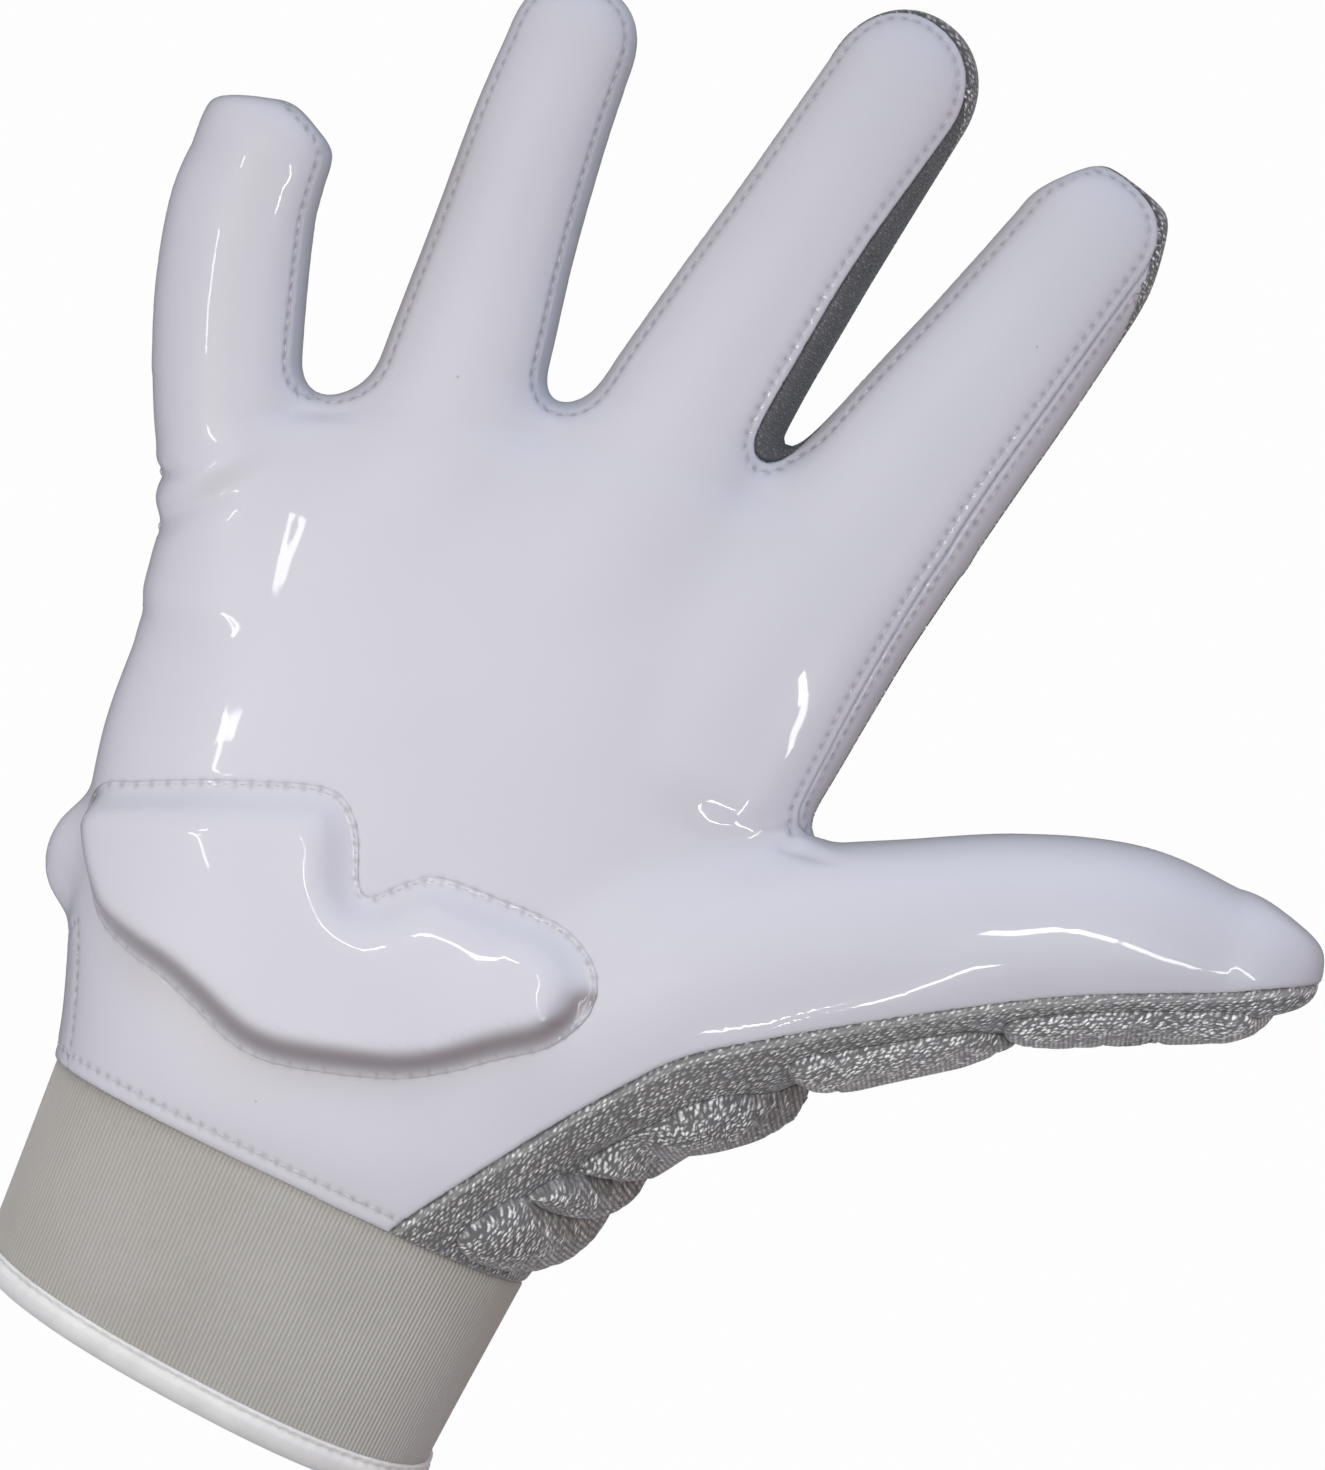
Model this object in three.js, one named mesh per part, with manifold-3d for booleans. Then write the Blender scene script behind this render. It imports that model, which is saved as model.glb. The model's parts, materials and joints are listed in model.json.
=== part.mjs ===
// A right-hand lineman football glove, held open in the shape of a spread hand.
// Millimetres, +Z up the forearm to the fingers, palm facing -Y, thumb towards +X.
// The origin is the centre of the wrist opening, at the lower edge of the cuff.
import * as THREE from 'three';
import Module from 'manifold-3d';
import { mergeVertices } from 'three/addons/utils/BufferGeometryUtils.js';

const wasm = await Module();
wasm.setup();

// Driving dimensions
const PALM_WALL = 1.8; // coated palm leather with its foam backing
const CUFF_WALL = 1.8; // rib-knit elastic
const GAP = 0.35; // clearance between pieces that are sewn together
const HAND_BOTTOM = 32.5; // where the palm and back are sewn to the cuff, at the middle
const FINGER_SIDES = 12; // corners of a finger's section
const THUMB_SIDES = 12;
const PALM_SIDES = 24;
const BAND_SIDES = 26; // corners of the cuff
const ROUNDNESS = 2.25; // superellipse power of a finger's section
const PALM_ROUNDNESS = 2.6;
const BAND_ROUNDNESS = 2.3;
const TIP_ROUNDNESS = 2.35; // superellipse power of a fingertip
const TIP_RINGS = 3;
const TIP_BLUNT = 0.35; // how far short of a full round the last ring stops, in rings

// Palm and back of the hand, one row for each section from the wrist up.
// left and right are the section's ends, rise lifts its middle, front and back are its depths
// and nod is how fast it climbs from front to back.
const PALM_ROWS = [
  { leftX: -39.2, leftZ: 33, rightX: 37.5, rightZ: 32, rise: 0, front: 23.5, back: 22, nod: -0.09 },
  { leftX: -41, leftZ: 40, rightX: 39.5, rightZ: 40, rise: 0, front: 24, back: 21.5, nod: -0.04 },
  { leftX: -43.8, leftZ: 48, rightX: 42, rightZ: 48, rise: 0, front: 23.5, back: 21, nod: 0 },
  { leftX: -47.8, leftZ: 58, rightX: 44, rightZ: 57, rise: 0, front: 21.5, back: 20, nod: 0 },
  { leftX: -50.6, leftZ: 70, rightX: 46, rightZ: 68, rise: 0, front: 19.5, back: 18.5, nod: 0 },
  { leftX: -53.2, leftZ: 82, rightX: 46, rightZ: 82, rise: 0, front: 17, back: 17, nod: 0 },
  { leftX: -54.8, leftZ: 95, rightX: 45.5, rightZ: 96, rise: 0, front: 15.5, back: 16, nod: 0 },
  { leftX: -57, leftZ: 108, rightX: 45, rightZ: 110, rise: 1, front: 14.5, back: 15.5, nod: 0 },
  { leftX: -59, leftZ: 118, rightX: 45.5, rightZ: 124, rise: 3, front: 14, back: 15, nod: 0 },
  { leftX: -60, leftZ: 126, rightX: 45, rightZ: 138, rise: 6, front: 12.5, back: 13.5, nod: 0 },
  { leftX: -57, leftZ: 131.5, rightX: 42, rightZ: 150, rise: 8, front: 10, back: 11, nod: 0 },
  { leftX: -52, leftZ: 134.5, rightX: 38, rightZ: 155, rise: 9, front: 5, back: 6, nod: 0 },
];
const PALM_EDGE_LEFT = 5; // depth of the palm leather's edge at the two sides of the palm
const PALM_EDGE_RIGHT = -5;

// The five digits, one row for each section. x, y, z is its centre; wide, front and back are
// its half sizes; left and right are the depths of the palm leather's edge on its two sides.
// tip is the length of the rounded end.
const DIGITS = {
  little: {
    tip: 9,
    rows: [
      { x: -46, y: 1, z: 106, wide: 10, front: 10, back: 11.5, left: 1, right: -2 },
      { x: -50.5, y: 1, z: 118, wide: 9.8, front: 11.5, back: 11.5, left: 1, right: -2 },
      { x: -56.3, y: 0, z: 131, wide: 10.6, front: 11, back: 11, left: 1, right: -2 },
      { x: -61.6, y: -2, z: 144.5, wide: 11.1, front: 10, back: 10, left: 1, right: -2 },
      { x: -65.3, y: -4, z: 157, wide: 10.8, front: 9.3, back: 9.3, left: 0.5, right: -2 },
      { x: -66.1, y: -5.5, z: 165, wide: 10, front: 8.8, back: 8.6, left: 0, right: -1.5 },
    ],
  },
  ring: {
    tip: 10.5,
    rows: [
      { x: -24, y: 1, z: 118, wide: 11, front: 12.5, back: 12.5, left: -2, right: -2 },
      { x: -25, y: 0.5, z: 135, wide: 12.6, front: 12.3, back: 12, left: -2, right: -2 },
      { x: -27, y: -0.5, z: 152, wide: 12.2, front: 11, back: 11, left: -2, right: -2 },
      { x: -29.3, y: -2, z: 170, wide: 10.8, front: 10, back: 10, left: -2, right: -2 },
      { x: -31.1, y: -4, z: 186, wide: 10.1, front: 9.6, back: 9.4, left: -1.5, right: -2 },
      { x: -31.8, y: -5.5, z: 198.5, wide: 9.5, front: 9, back: 8.8, left: -1, right: -1.5 },
    ],
  },
  middle: {
    tip: 12.5,
    rows: [
      { x: 3, y: 1, z: 122, wide: 12, front: 13, back: 13, left: -2, right: -10 },
      { x: 3.8, y: 0.5, z: 140, wide: 13.2, front: 12.6, back: 12.4, left: -2, right: -10 },
      { x: 5.2, y: 0, z: 156, wide: 13.3, front: 11.4, back: 11.6, left: -2, right: -9 },
      { x: 7.6, y: -1, z: 173, wide: 12.7, front: 10.5, back: 10.5, left: -2, right: -8.6 },
      { x: 10.3, y: -2.5, z: 191, wide: 11.8, front: 10.2, back: 10, left: -2, right: -8.4 },
      { x: 13.6, y: -4, z: 213, wide: 11.1, front: 9.6, back: 9.4, left: -1, right: -6 },
    ],
  },
  index: {
    tip: 13,
    rows: [
      { x: 31, y: 1, z: 114, wide: 14.8, front: 13, back: 13.5, left: -1, right: -10.5 },
      { x: 32.8, y: 0.5, z: 132, wide: 15.4, front: 12.8, back: 12.8, left: -1, right: -10.8 },
      { x: 35.6, y: 0, z: 150, wide: 15.3, front: 11.8, back: 11.8, left: -1, right: -9.7 },
      { x: 39.3, y: -1, z: 167, wide: 14.3, front: 10.8, back: 10.8, left: -1, right: -9.3 },
      { x: 43.7, y: -2, z: 185, wide: 12.9, front: 10.3, back: 10.2, left: -1, right: -9 },
      { x: 47.7, y: -3, z: 203, wide: 11.5, front: 9.7, back: 9.6, left: -1, right: -8 },
    ],
  },
  thumb: {
    tip: 14.5,
    rows: [
      { x: 22, y: 0, z: 52, wide: 17.5, front: 18, back: 17, left: 4, right: -16 },
      { x: 30, y: -2, z: 66, wide: 18.8, front: 18, back: 17, left: 4, right: -18 },
      { x: 41, y: -4, z: 81, wide: 18.6, front: 17, back: 16, left: 4, right: -18 },
      { x: 54, y: -5, z: 93, wide: 16.6, front: 15.5, back: 14.5, left: 4, right: -15 },
      { x: 68, y: -6, z: 102.5, wide: 15.2, front: 14, back: 13, left: 3, right: -14.5 },
      { x: 82, y: -6, z: 111, wide: 14.2, front: 12.8, back: 12, left: 2, right: -13 },
      { x: 96, y: -6, z: 117, wide: 13, front: 11.8, back: 11, left: 1, right: -11.5 },
      { x: 109.5, y: -5.5, z: 120, wide: 10, front: 10, back: 9.5, left: 0, right: -9 },
    ],
  },
};

// Fold of leather at the outer heel of the hand: the centre and half sizes of a flat bulge
const SIDE_FOLD = { x: -45.6, y: -1.5, z: 63, halfX: 7.8, halfY: 5.5, halfZ: 9 };

// Side strips sewn between the palm and the back of each finger
const STRIP_DEEP = 8; // depth from the palm leather's edge
const STRIP_INNER = 0.25; // share of a finger's half width where a strip's space starts
const STRIP_TIP = 0.3; // share of its depth that a strip still has at the fingertip
const STRIP_TAPER = 3; // stations over which it narrows to that
const WEB_LOW = 8; // how far the strip's turn between two fingers reaches below its foot
const WEB_HIGH = 6;

// How far the spaces that cut the hand into pieces reach past its skin
const REACH_SIDE = 3;
const REACH_BACK = 6;
const REACH_TOP = 12;
const CORNER_REACH = 80; // far side and whole depth of the space beside the thumb

// Where the silver knit comes round to the front beside the thumb, as a line up the palm
const KNIT_EDGE = [
  { x: 13.5, z: 28 },
  { x: 19.5, z: 39.5 },
  { x: 26, z: 50 },
  { x: 34, z: 62 },
  { x: 44.5, z: 75 },
];

// Heel pad, one row for each column across the palm: the heights of its lower and upper edges
const HEEL_PAD_HIGH = 5; // thickness at the crown
const HEEL_PAD_LIP = 1.3; // thickness at the sewn edge
const HEEL_PAD_SUNK = 1; // depth of its underside below the palm, before the palm is cut away
const HEEL_PAD_BANDS = 8;
const HEEL_PAD_MIDDLE_X = -4; // the rays that lay it on the palm point to this upright line
const RAY_FLATTEN = 0.8;
const RAY_LONG = 120;
const RAY_STEPS = 24;
const HEEL_PAD_ROWS = [
  { x: -49.3, low: 66, high: 71.5 },
  { x: -47, low: 60, high: 75 },
  { x: -43, low: 56, high: 77.5 },
  { x: -37.5, low: 54.8, high: 80.3 },
  { x: -31, low: 54.4, high: 83.3 },
  { x: -24.5, low: 53, high: 86.1 },
  { x: -19, low: 51.4, high: 87.8 },
  { x: -14.5, low: 50.3, high: 87 },
  { x: -10.7, low: 50.5, high: 83 },
  { x: -6.5, low: 51.6, high: 76.6 },
  { x: -2.5, low: 53, high: 80.8 },
  { x: 2, low: 54.4, high: 83.2 },
  { x: 9, low: 56.6, high: 83.9 },
  { x: 16, low: 61, high: 84.2 },
  { x: 22.5, low: 66, high: 83.5 },
  { x: 27, low: 70, high: 81 },
  { x: 29.3, low: 73.5, high: 77 },
];

// Puffed pads under the knit. Each is a bolster along a line from its foot to its head, which
// runs just under the glove's skin: x, y, z of both ends, its half width round the hand and its
// height above that line
const PAD_SIDES = 10;
const PAD_ROUND = 0.7; // length of a round end, as a share of the height
const PAD_LEAN = 0.3; // how far the pads shift towards the thumb's tip for each step back
const PADS = {
  thumb_pad_1: { foot: [90.2, -6.7, 103.4], head: [114, -6.7, 114.1], wide: 8, high: 5.5 },
  thumb_pad_2: { foot: [64.4, -6, 84.1], head: [85.1, -6, 97.9], wide: 10.3, high: 6.2 },
  thumb_pad_3: { foot: [47.4, -5.5, 62.7], head: [58.4, -5.5, 76.7], wide: 12.5, high: 5.7 },
  thumb_pad_4: { foot: [39.9, -5.5, 50.2], head: [44.9, -5.5, 57.2], wide: 12.5, high: 6 },
  thumb_pad_5: { foot: [35.6, -5.5, 39.7], head: [37.6, -5.5, 44.7], wide: 12.5, high: 6 },
};

// Cuff, one row for each height, with the half width and half depth of its outer face
const CUFF_CENTRE_X = -0.8;
const CUFF_ROWS = [
  { z: 1, wide: 36.3, deep: 23.2, lean: -0.06, nod: 0.02 },
  { z: 13, wide: 37, deep: 23.6, lean: -0.03, nod: 0.02 },
  { z: HAND_BOTTOM - GAP, wide: 38.2, deep: 22.8, lean: -0.015, nod: -0.09 },
];
const BINDING_HIGH = 4;
const BINDING_WALL = 0.9;
const BINDING_DRAW = 0.4; // how far its lower edge is drawn in
const HOLLOW_DROP = 4; // how far the hand's hollow runs down past its lower edge

// Meshes to solids and back
function solidOf(geometry) {
  const bare = geometry.clone();
  for (const name of Object.keys(bare.attributes)) {
    if (name !== 'position') bare.deleteAttribute(name);
  }
  const merged = mergeVertices(bare, 1e-5);
  return new wasm.Manifold(new wasm.Mesh({
    numProp: 3,
    vertProperties: Float32Array.from(merged.attributes.position.array),
    triVerts: Uint32Array.from(merged.index.array),
  }));
}

function geometryOf(solid) {
  const mesh = solid.getMesh();
  const geometry = new THREE.BufferGeometry();
  const points = new Float32Array(mesh.numVert * 3);
  for (let i = 0; i < mesh.numVert; i += 1) {
    points.set(mesh.vertProperties.subarray(i * mesh.numProp, i * mesh.numProp + 3), i * 3);
  }
  geometry.setAttribute('position', new THREE.BufferAttribute(points, 3));
  geometry.setIndex(new THREE.BufferAttribute(Uint32Array.from(mesh.triVerts), 1));
  return geometry;
}

// A closed skin over rings of points, with a flat end on the first and the last ring
function loftOf(rings) {
  const sides = rings[0].length;
  const points = rings.flat();
  const faces = [];
  for (let i = 0; i + 1 < rings.length; i += 1) {
    for (let k = 0; k < sides; k += 1) {
      const a = i * sides + k;
      const b = i * sides + (k + 1) % sides;
      faces.push([a, b, b + sides], [a, b + sides, a + sides]);
    }
  }
  const middle = (ring) => ring.reduce((sum, p) => sum.add(p), new THREE.Vector3()).divideScalar(sides);
  const last = (rings.length - 1) * sides;
  const startMiddle = points.push(middle(rings[0])) - 1;
  const endMiddle = points.push(middle(rings[rings.length - 1])) - 1;
  for (let k = 0; k < sides; k += 1) {
    const next = (k + 1) % sides;
    faces.push([startMiddle, next, k], [endMiddle, last + k, last + next]);
  }
  const geometry = new THREE.BufferGeometry();
  geometry.setAttribute('position', new THREE.Float32BufferAttribute(points.flatMap((p) => p.toArray()), 3));
  geometry.setIndex(faces.flat());
  return solidOf(geometry);
}

function power(value, roundness) {
  return Math.sign(value) * Math.abs(value) ** (2 / roundness);
}

// One section: a superellipse with its own depth in front and behind
function sectionOf(sides, wide, front, back, roundness) {
  return Array.from({ length: sides }, (_, k) => {
    const angle = (2 * Math.PI * (k + 0.5)) / sides;
    const side = power(Math.cos(angle), roundness);
    const depth = power(Math.sin(angle), roundness);
    return { u: wide * side, v: (depth < 0 ? front : back) * depth };
  });
}

// Stations along a digit, one for each row and then the rings of its blunt rounded tip, with the
// directions of its side and of its depth. along is the distance past the last row and shrink
// the share of the full section there.
function stationsOf(digit) {
  const points = digit.rows.map((row) => new THREE.Vector3(row.x, row.y, row.z));
  const path = new THREE.CatmullRomCurve3(points);
  const stationAt = (index, along, shrink) => {
    const tangent = path.getTangent(index / (points.length - 1));
    const depth = new THREE.Vector3(0, 1, 0).addScaledVector(tangent, -tangent.y).normalize();
    const side = new THREE.Vector3().crossVectors(depth, tangent);
    const centre = points[index].clone().addScaledVector(tangent, along);
    return { ...digit.rows[index], centre, tangent, side, depth, along, shrink };
  };
  const body = points.map((_, index) => stationAt(index, 0, 1));
  const tip = Array.from({ length: TIP_RINGS }, (_, i) => {
    const angle = ((i + 1) / (TIP_RINGS + TIP_BLUNT)) * (Math.PI / 2);
    const along = digit.tip * power(Math.sin(angle), TIP_ROUNDNESS);
    return stationAt(points.length - 1, along, power(Math.cos(angle), TIP_ROUNDNESS));
  });
  return [...body, ...tip];
}

function placed(station, u, v) {
  return station.centre.clone().addScaledVector(station.side, u).addScaledVector(station.depth, v);
}

// A digit as a solid, grown outwards all over by grow
function digitSolid(digit, grow, sides) {
  const rings = stationsOf(digit).map((station) => {
    const further = (grow * station.along) / digit.tip;
    const ahead = { ...station, centre: station.centre.clone().addScaledVector(station.tangent, further) };
    return sectionOf(
      sides,
      (station.wide + grow) * station.shrink,
      (station.front + grow) * station.shrink,
      (station.back + grow) * station.shrink,
      ROUNDNESS,
    ).map(({ u, v }) => placed(ahead, u, v));
  });
  return loftOf(rings);
}

// The palm's solid, grown by grow; its wrist end reaches down by drop
function palmSolid(grow, drop) {
  const rings = PALM_ROWS.map((row, i) => {
    const middleX = (row.leftX + row.rightX) / 2;
    const halfX = (row.rightX - row.leftX) / 2;
    const lift = i === 0 ? -drop : (grow * i) / (PALM_ROWS.length - 1);
    return sectionOf(PALM_SIDES, 1, row.front + grow, row.back + grow, PALM_ROUNDNESS).map(({ u, v }) => {
      const along = THREE.MathUtils.lerp(row.leftZ, row.rightZ, (u + 1) / 2);
      const level = along + row.rise * (1 - u * u) + row.nod * v;
      return new THREE.Vector3(middleX + u * (halfX + grow), v, level + lift);
    });
  });
  return loftOf(rings);
}

function sidesOf(name) {
  return name === 'thumb' ? THUMB_SIDES : FINGER_SIDES;
}

// The whole hand, without the fold at its outer heel
function handSolid(grow, drop) {
  return Object.entries(DIGITS).reduce(
    (hand, [name, digit]) => hand.add(digitSolid(digit, grow, sidesOf(name))),
    palmSolid(grow, drop),
  );
}

function boxSolid(low, high) {
  const size = high.map((value, i) => value - low[i]);
  const geometry = new THREE.BoxGeometry(...size);
  geometry.translate(...high.map((value, i) => (value + low[i]) / 2));
  return solidOf(geometry);
}

// Depth of the palm leather's edge across a digit's section, on a straight line side to side
function edgeDepth(station, u) {
  const middle = (station.right + station.left) / 2;
  return middle + ((station.right - station.left) / (2 * station.wide)) * u;
}

// The space behind the palm leather's edge along one digit, moved back by shift
function behindDigit(digit, shift) {
  const stations = stationsOf(digit);
  const rings = stations.map((station, i) => {
    const reach = station.wide + REACH_SIDE;
    const ahead = i === stations.length - 1 ? REACH_SIDE : 0;
    const centre = station.centre.clone().addScaledVector(station.tangent, ahead);
    const section = { ...station, centre };
    return [
      placed(section, -reach, edgeDepth(station, -reach) + shift),
      placed(section, reach, edgeDepth(station, reach) + shift),
      placed(section, reach, station.back + REACH_BACK),
      placed(section, -reach, station.back + REACH_BACK),
    ];
  });
  return loftOf(rings);
}

// The space behind the palm leather over the body of the hand
function behindPalm(shift) {
  const rings = PALM_ROWS.map((row, i) => {
    const last = i === PALM_ROWS.length - 1;
    const ends = [[row.leftX - REACH_BACK, row.leftZ], [row.rightX + REACH_BACK, row.rightZ]];
    const level = (k) => ends[k][1] - (i === 0 ? REACH_BACK : 0) + (last ? REACH_TOP : 0);
    return [
      new THREE.Vector3(ends[0][0], PALM_EDGE_LEFT + shift, level(0)),
      new THREE.Vector3(ends[1][0], PALM_EDGE_RIGHT + shift, level(1)),
      new THREE.Vector3(ends[1][0], row.back + REACH_BACK, level(1)),
      new THREE.Vector3(ends[0][0], row.back + REACH_BACK, level(0)),
    ];
  });
  return loftOf(rings);
}

// The part of the front that the knit covers, beside the base of the thumb
function knitCorner(shift) {
  const outline = new THREE.Shape([
    ...KNIT_EDGE.map(({ x, z }) => new THREE.Vector2(x + shift, z)),
    new THREE.Vector2(CORNER_REACH, KNIT_EDGE[KNIT_EDGE.length - 1].z),
    new THREE.Vector2(CORNER_REACH, KNIT_EDGE[0].z),
  ]);
  const geometry = new THREE.ExtrudeGeometry(outline, { depth: CORNER_REACH, bevelEnabled: false });
  geometry.rotateX(Math.PI / 2);
  geometry.translate(0, CORNER_REACH / 2, 0);
  return solidOf(geometry);
}

function behindLeather(shift) {
  return Object.values(DIGITS).reduce(
    (space, digit) => space.add(behindDigit(digit, shift)),
    behindPalm(shift).add(knitCorner(shift)),
  );
}

// The space of a side strip along one side of a digit: side is 1 on its right, -1 on its left
function stripSpace({ on, side, foot }, grow) {
  const stations = stationsOf(DIGITS[on]).slice(foot, -1);
  const rings = stations.map((station, i) => {
    const inner = side * (station.wide * STRIP_INNER * station.shrink - grow);
    const outer = side * (station.wide + REACH_SIDE);
    const taper = Math.min(1, (stations.length - 1 - i) / STRIP_TAPER + STRIP_TIP);
    const edge = edgeDepth(station, outer);
    const deep = edge + STRIP_DEEP * taper + grow;
    const ring = [
      placed(station, inner, Math.min(edgeDepth(station, inner), edge) - 1),
      placed(station, outer, edge - 1),
      placed(station, outer, deep),
      placed(station, inner, deep),
    ];
    return side > 0 ? ring : ring.reverse();
  });
  return loftOf(rings);
}

// Three strips run up one finger and down the next, the fourth up the index's outer side.
// foot is the row of the digit's table where the strip starts.
const STRIPS = {
  fourchette_little_ring: [{ on: 'little', side: 1, foot: 2 }, { on: 'ring', side: -1, foot: 1 }],
  fourchette_ring_middle: [{ on: 'ring', side: 1, foot: 2 }, { on: 'middle', side: -1, foot: 2 }],
  fourchette_middle_index: [{ on: 'middle', side: 1, foot: 2 }, { on: 'index', side: -1, foot: 2 }],
  index_side_panel: [{ on: 'index', side: 1, foot: 0 }],
};

// The space where the strip turns from one finger to the next
function webSpace([left, right], grow) {
  const from = DIGITS[left.on].rows[left.foot];
  const to = DIGITS[right.on].rows[right.foot];
  const level = (from.z + to.z) / 2;
  const edge = Math.min(from.right, to.left);
  return boxSolid(
    [from.x - grow, edge - 1, level - WEB_LOW - grow],
    [to.x + grow, edge + STRIP_DEEP + grow, level + WEB_HIGH + grow],
  );
}

function stripRegion(sides, grow) {
  const spaces = sides.map((side) => stripSpace(side, grow));
  if (sides.length > 1) spaces.push(webSpace(sides, grow));
  return spaces.reduce((whole, part) => whole.add(part));
}

// A bolster with round ends along a straight line
function padSolid(pad, grow) {
  const foot = new THREE.Vector3(...pad.foot);
  const head = new THREE.Vector3(...pad.head);
  const tangent = head.clone().sub(foot).normalize();
  const depth = new THREE.Vector3(0, 1, 0).addScaledVector(tangent, -tangent.y).normalize();
  const side = new THREE.Vector3().crossVectors(depth, tangent);
  const ends = [-75, -45, -15, 15, 45, 75];
  const rings = ends.map((degrees) => {
    const angle = THREE.MathUtils.degToRad(degrees);
    const along = pad.high * PAD_ROUND * Math.sin(angle);
    const centre = (degrees < 0 ? foot : head).clone().addScaledVector(tangent, along);
    const wide = (pad.wide + grow) * Math.cos(angle);
    const high = (pad.high + grow) * Math.cos(angle);
    const section = sectionOf(PAD_SIDES, high, wide, wide, ROUNDNESS);
    const leaning = depth.clone().addScaledVector(tangent, PAD_LEAN);
    return section.map(({ u, v }) => placed({ centre, side, depth: leaning }, u, v));
  });
  return loftOf(rings);
}

// The heel pad, laid on the palm by rays from outside towards the middle of the hand
function heelPadSolid(handMesh) {
  const ray = new THREE.Raycaster();
  const rows = HEEL_PAD_ROWS;
  const hit = (x, z) => {
    let low = 0.02 * Math.PI;
    let high = 0.98 * Math.PI;
    let found = null;
    for (let step = 0; step < RAY_STEPS; step += 1) {
      const angle = (low + high) / 2;
      const out = new THREE.Vector3(-Math.cos(angle), -Math.sin(angle) * RAY_FLATTEN, 0).normalize();
      const from = new THREE.Vector3(HEEL_PAD_MIDDLE_X, 0, z).addScaledVector(out, RAY_LONG);
      ray.set(from, out.clone().negate());
      found = { point: ray.intersectObject(handMesh)[0].point, out };
      if (found.point.x < x) low = angle;
      else high = angle;
    }
    return found;
  };
  const layers = { top: [], under: [] };
  rows.forEach((row, i) => {
    for (let j = 0; j < HEEL_PAD_BANDS; j += 1) {
      const across = -Math.cos((Math.PI * j) / (HEEL_PAD_BANDS - 1));
      const found = hit(row.x, THREE.MathUtils.lerp(row.low, row.high, (across + 1) / 2));
      const along = (2 * i) / (rows.length - 1) - 1;
      const crown = Math.sqrt((1 - Math.abs(across) ** 4) * (1 - Math.abs(along) ** 8));
      const high = HEEL_PAD_LIP + (HEEL_PAD_HIGH - HEEL_PAD_LIP) * crown;
      layers.top.push(found.point.clone().addScaledVector(found.out, high));
      layers.under.push(found.point.clone().addScaledVector(found.out, -HEEL_PAD_SUNK));
    }
  });
  const bands = HEEL_PAD_BANDS;
  const columns = rows.length;
  const faces = [];
  const quad = (a, b, c, d) => faces.push([a, b, c], [a, c, d]);
  const under = columns * bands;
  for (let i = 0; i + 1 < columns; i += 1) {
    for (let j = 0; j + 1 < bands; j += 1) {
      const a = i * bands + j;
      quad(a, a + bands, a + bands + 1, a + 1);
      quad(under + a, under + a + 1, under + a + bands + 1, under + a + bands);
    }
    const low = i * bands;
    const high = low + bands - 1;
    quad(under + low, under + low + bands, low + bands, low);
    quad(high, high + bands, under + high + bands, under + high);
  }
  for (let j = 0; j + 1 < bands; j += 1) {
    const right = (columns - 1) * bands + j;
    quad(under + j, j, j + 1, under + j + 1);
    quad(right, under + right, under + right + 1, right + 1);
  }
  const geometry = new THREE.BufferGeometry();
  const points = [...layers.top, ...layers.under];
  geometry.setAttribute('position', new THREE.Float32BufferAttribute(points.flatMap((p) => p.toArray()), 3));
  geometry.setIndex(faces.flat());
  return solidOf(geometry);
}

// An upright band between two sets of half sizes, as a loft with a hole through it
function ovalRing(row, shrink, lift) {
  const wide = row.wide - shrink;
  const deep = row.deep - shrink;
  return sectionOf(BAND_SIDES, wide, deep, deep, BAND_ROUNDNESS).map(({ u, v }) => {
    const level = row.z + lift + row.lean * u + row.nod * v;
    return new THREE.Vector3(CUFF_CENTRE_X + u, v, level);
  });
}

function bandSolid(rows, wall) {
  const outer = loftOf(rows.map((row) => ovalRing(row, 0, 0)));
  const last = rows.length - 1;
  const inner = loftOf(rows.map((row, i) => ovalRing(row, wall, (i === last ? 1 : 0) - (i === 0 ? 1 : 0))));
  return outer.subtract(inner);
}

// The white tape folded round the cuff's lower edge
function bindingSolid() {
  const [foot, next] = CUFF_ROWS;
  const out = BINDING_WALL + GAP;
  const grown = (row, z, extra) => ({ ...row, z, wide: row.wide + extra, deep: row.deep + extra });
  const tapeRows = [
    grown(foot, 0, out - BINDING_DRAW),
    grown(foot, foot.z, out),
    grown(foot, BINDING_HIGH, out),
  ];
  const slotRows = [grown(foot, foot.z - GAP, GAP), grown(next, next.z, GAP)];
  const tape = bandSolid(tapeRows, CUFF_WALL + 2 * out);
  return tape.subtract(bandSolid(slotRows, CUFF_WALL + 2 * GAP));
}

// Assembly
const handOuter = handSolid(0, 0);
const handInner = handSolid(-PALM_WALL, HOLLOW_DROP);
const fold = solidOf(new THREE.SphereGeometry(1, 12, 8)
  .scale(SIDE_FOLD.halfX, SIDE_FOLD.halfY, SIDE_FOLD.halfZ)
  .translate(SIDE_FOLD.x, SIDE_FOLD.y, SIDE_FOLD.z));
const shell = handOuter.add(fold).subtract(handInner);
const palmPanel = shell.subtract(behindLeather(0));
const rear = shell.intersect(behindLeather(GAP));
const allStrips = Object.values(STRIPS).map((sides) => stripRegion(sides, GAP)).reduce((a, b) => a.add(b));
const backPanel = rear.subtract(allStrips);
const cleared = handSolid(GAP, 0).add(fold);

const finishes = {
  palm_leather: { color: 0xd3d2de, roughness: 0.12, metalness: 0 },
  silver_knit: { color: 0xa9a8ab, roughness: 0.55, metalness: 0.2 },
  strip_knit: { color: 0x8f8f93, roughness: 0.8, metalness: 0 },
  rib_knit: { color: 0xb2b1aa, roughness: 0.9, metalness: 0 },
  binding_tape: { color: 0xd6d7da, roughness: 0.6, metalness: 0 },
};
const materials = Object.fromEntries(
  Object.entries(finishes).map(([name, finish]) => [name, new THREE.MeshStandardMaterial(finish)]),
);

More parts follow.
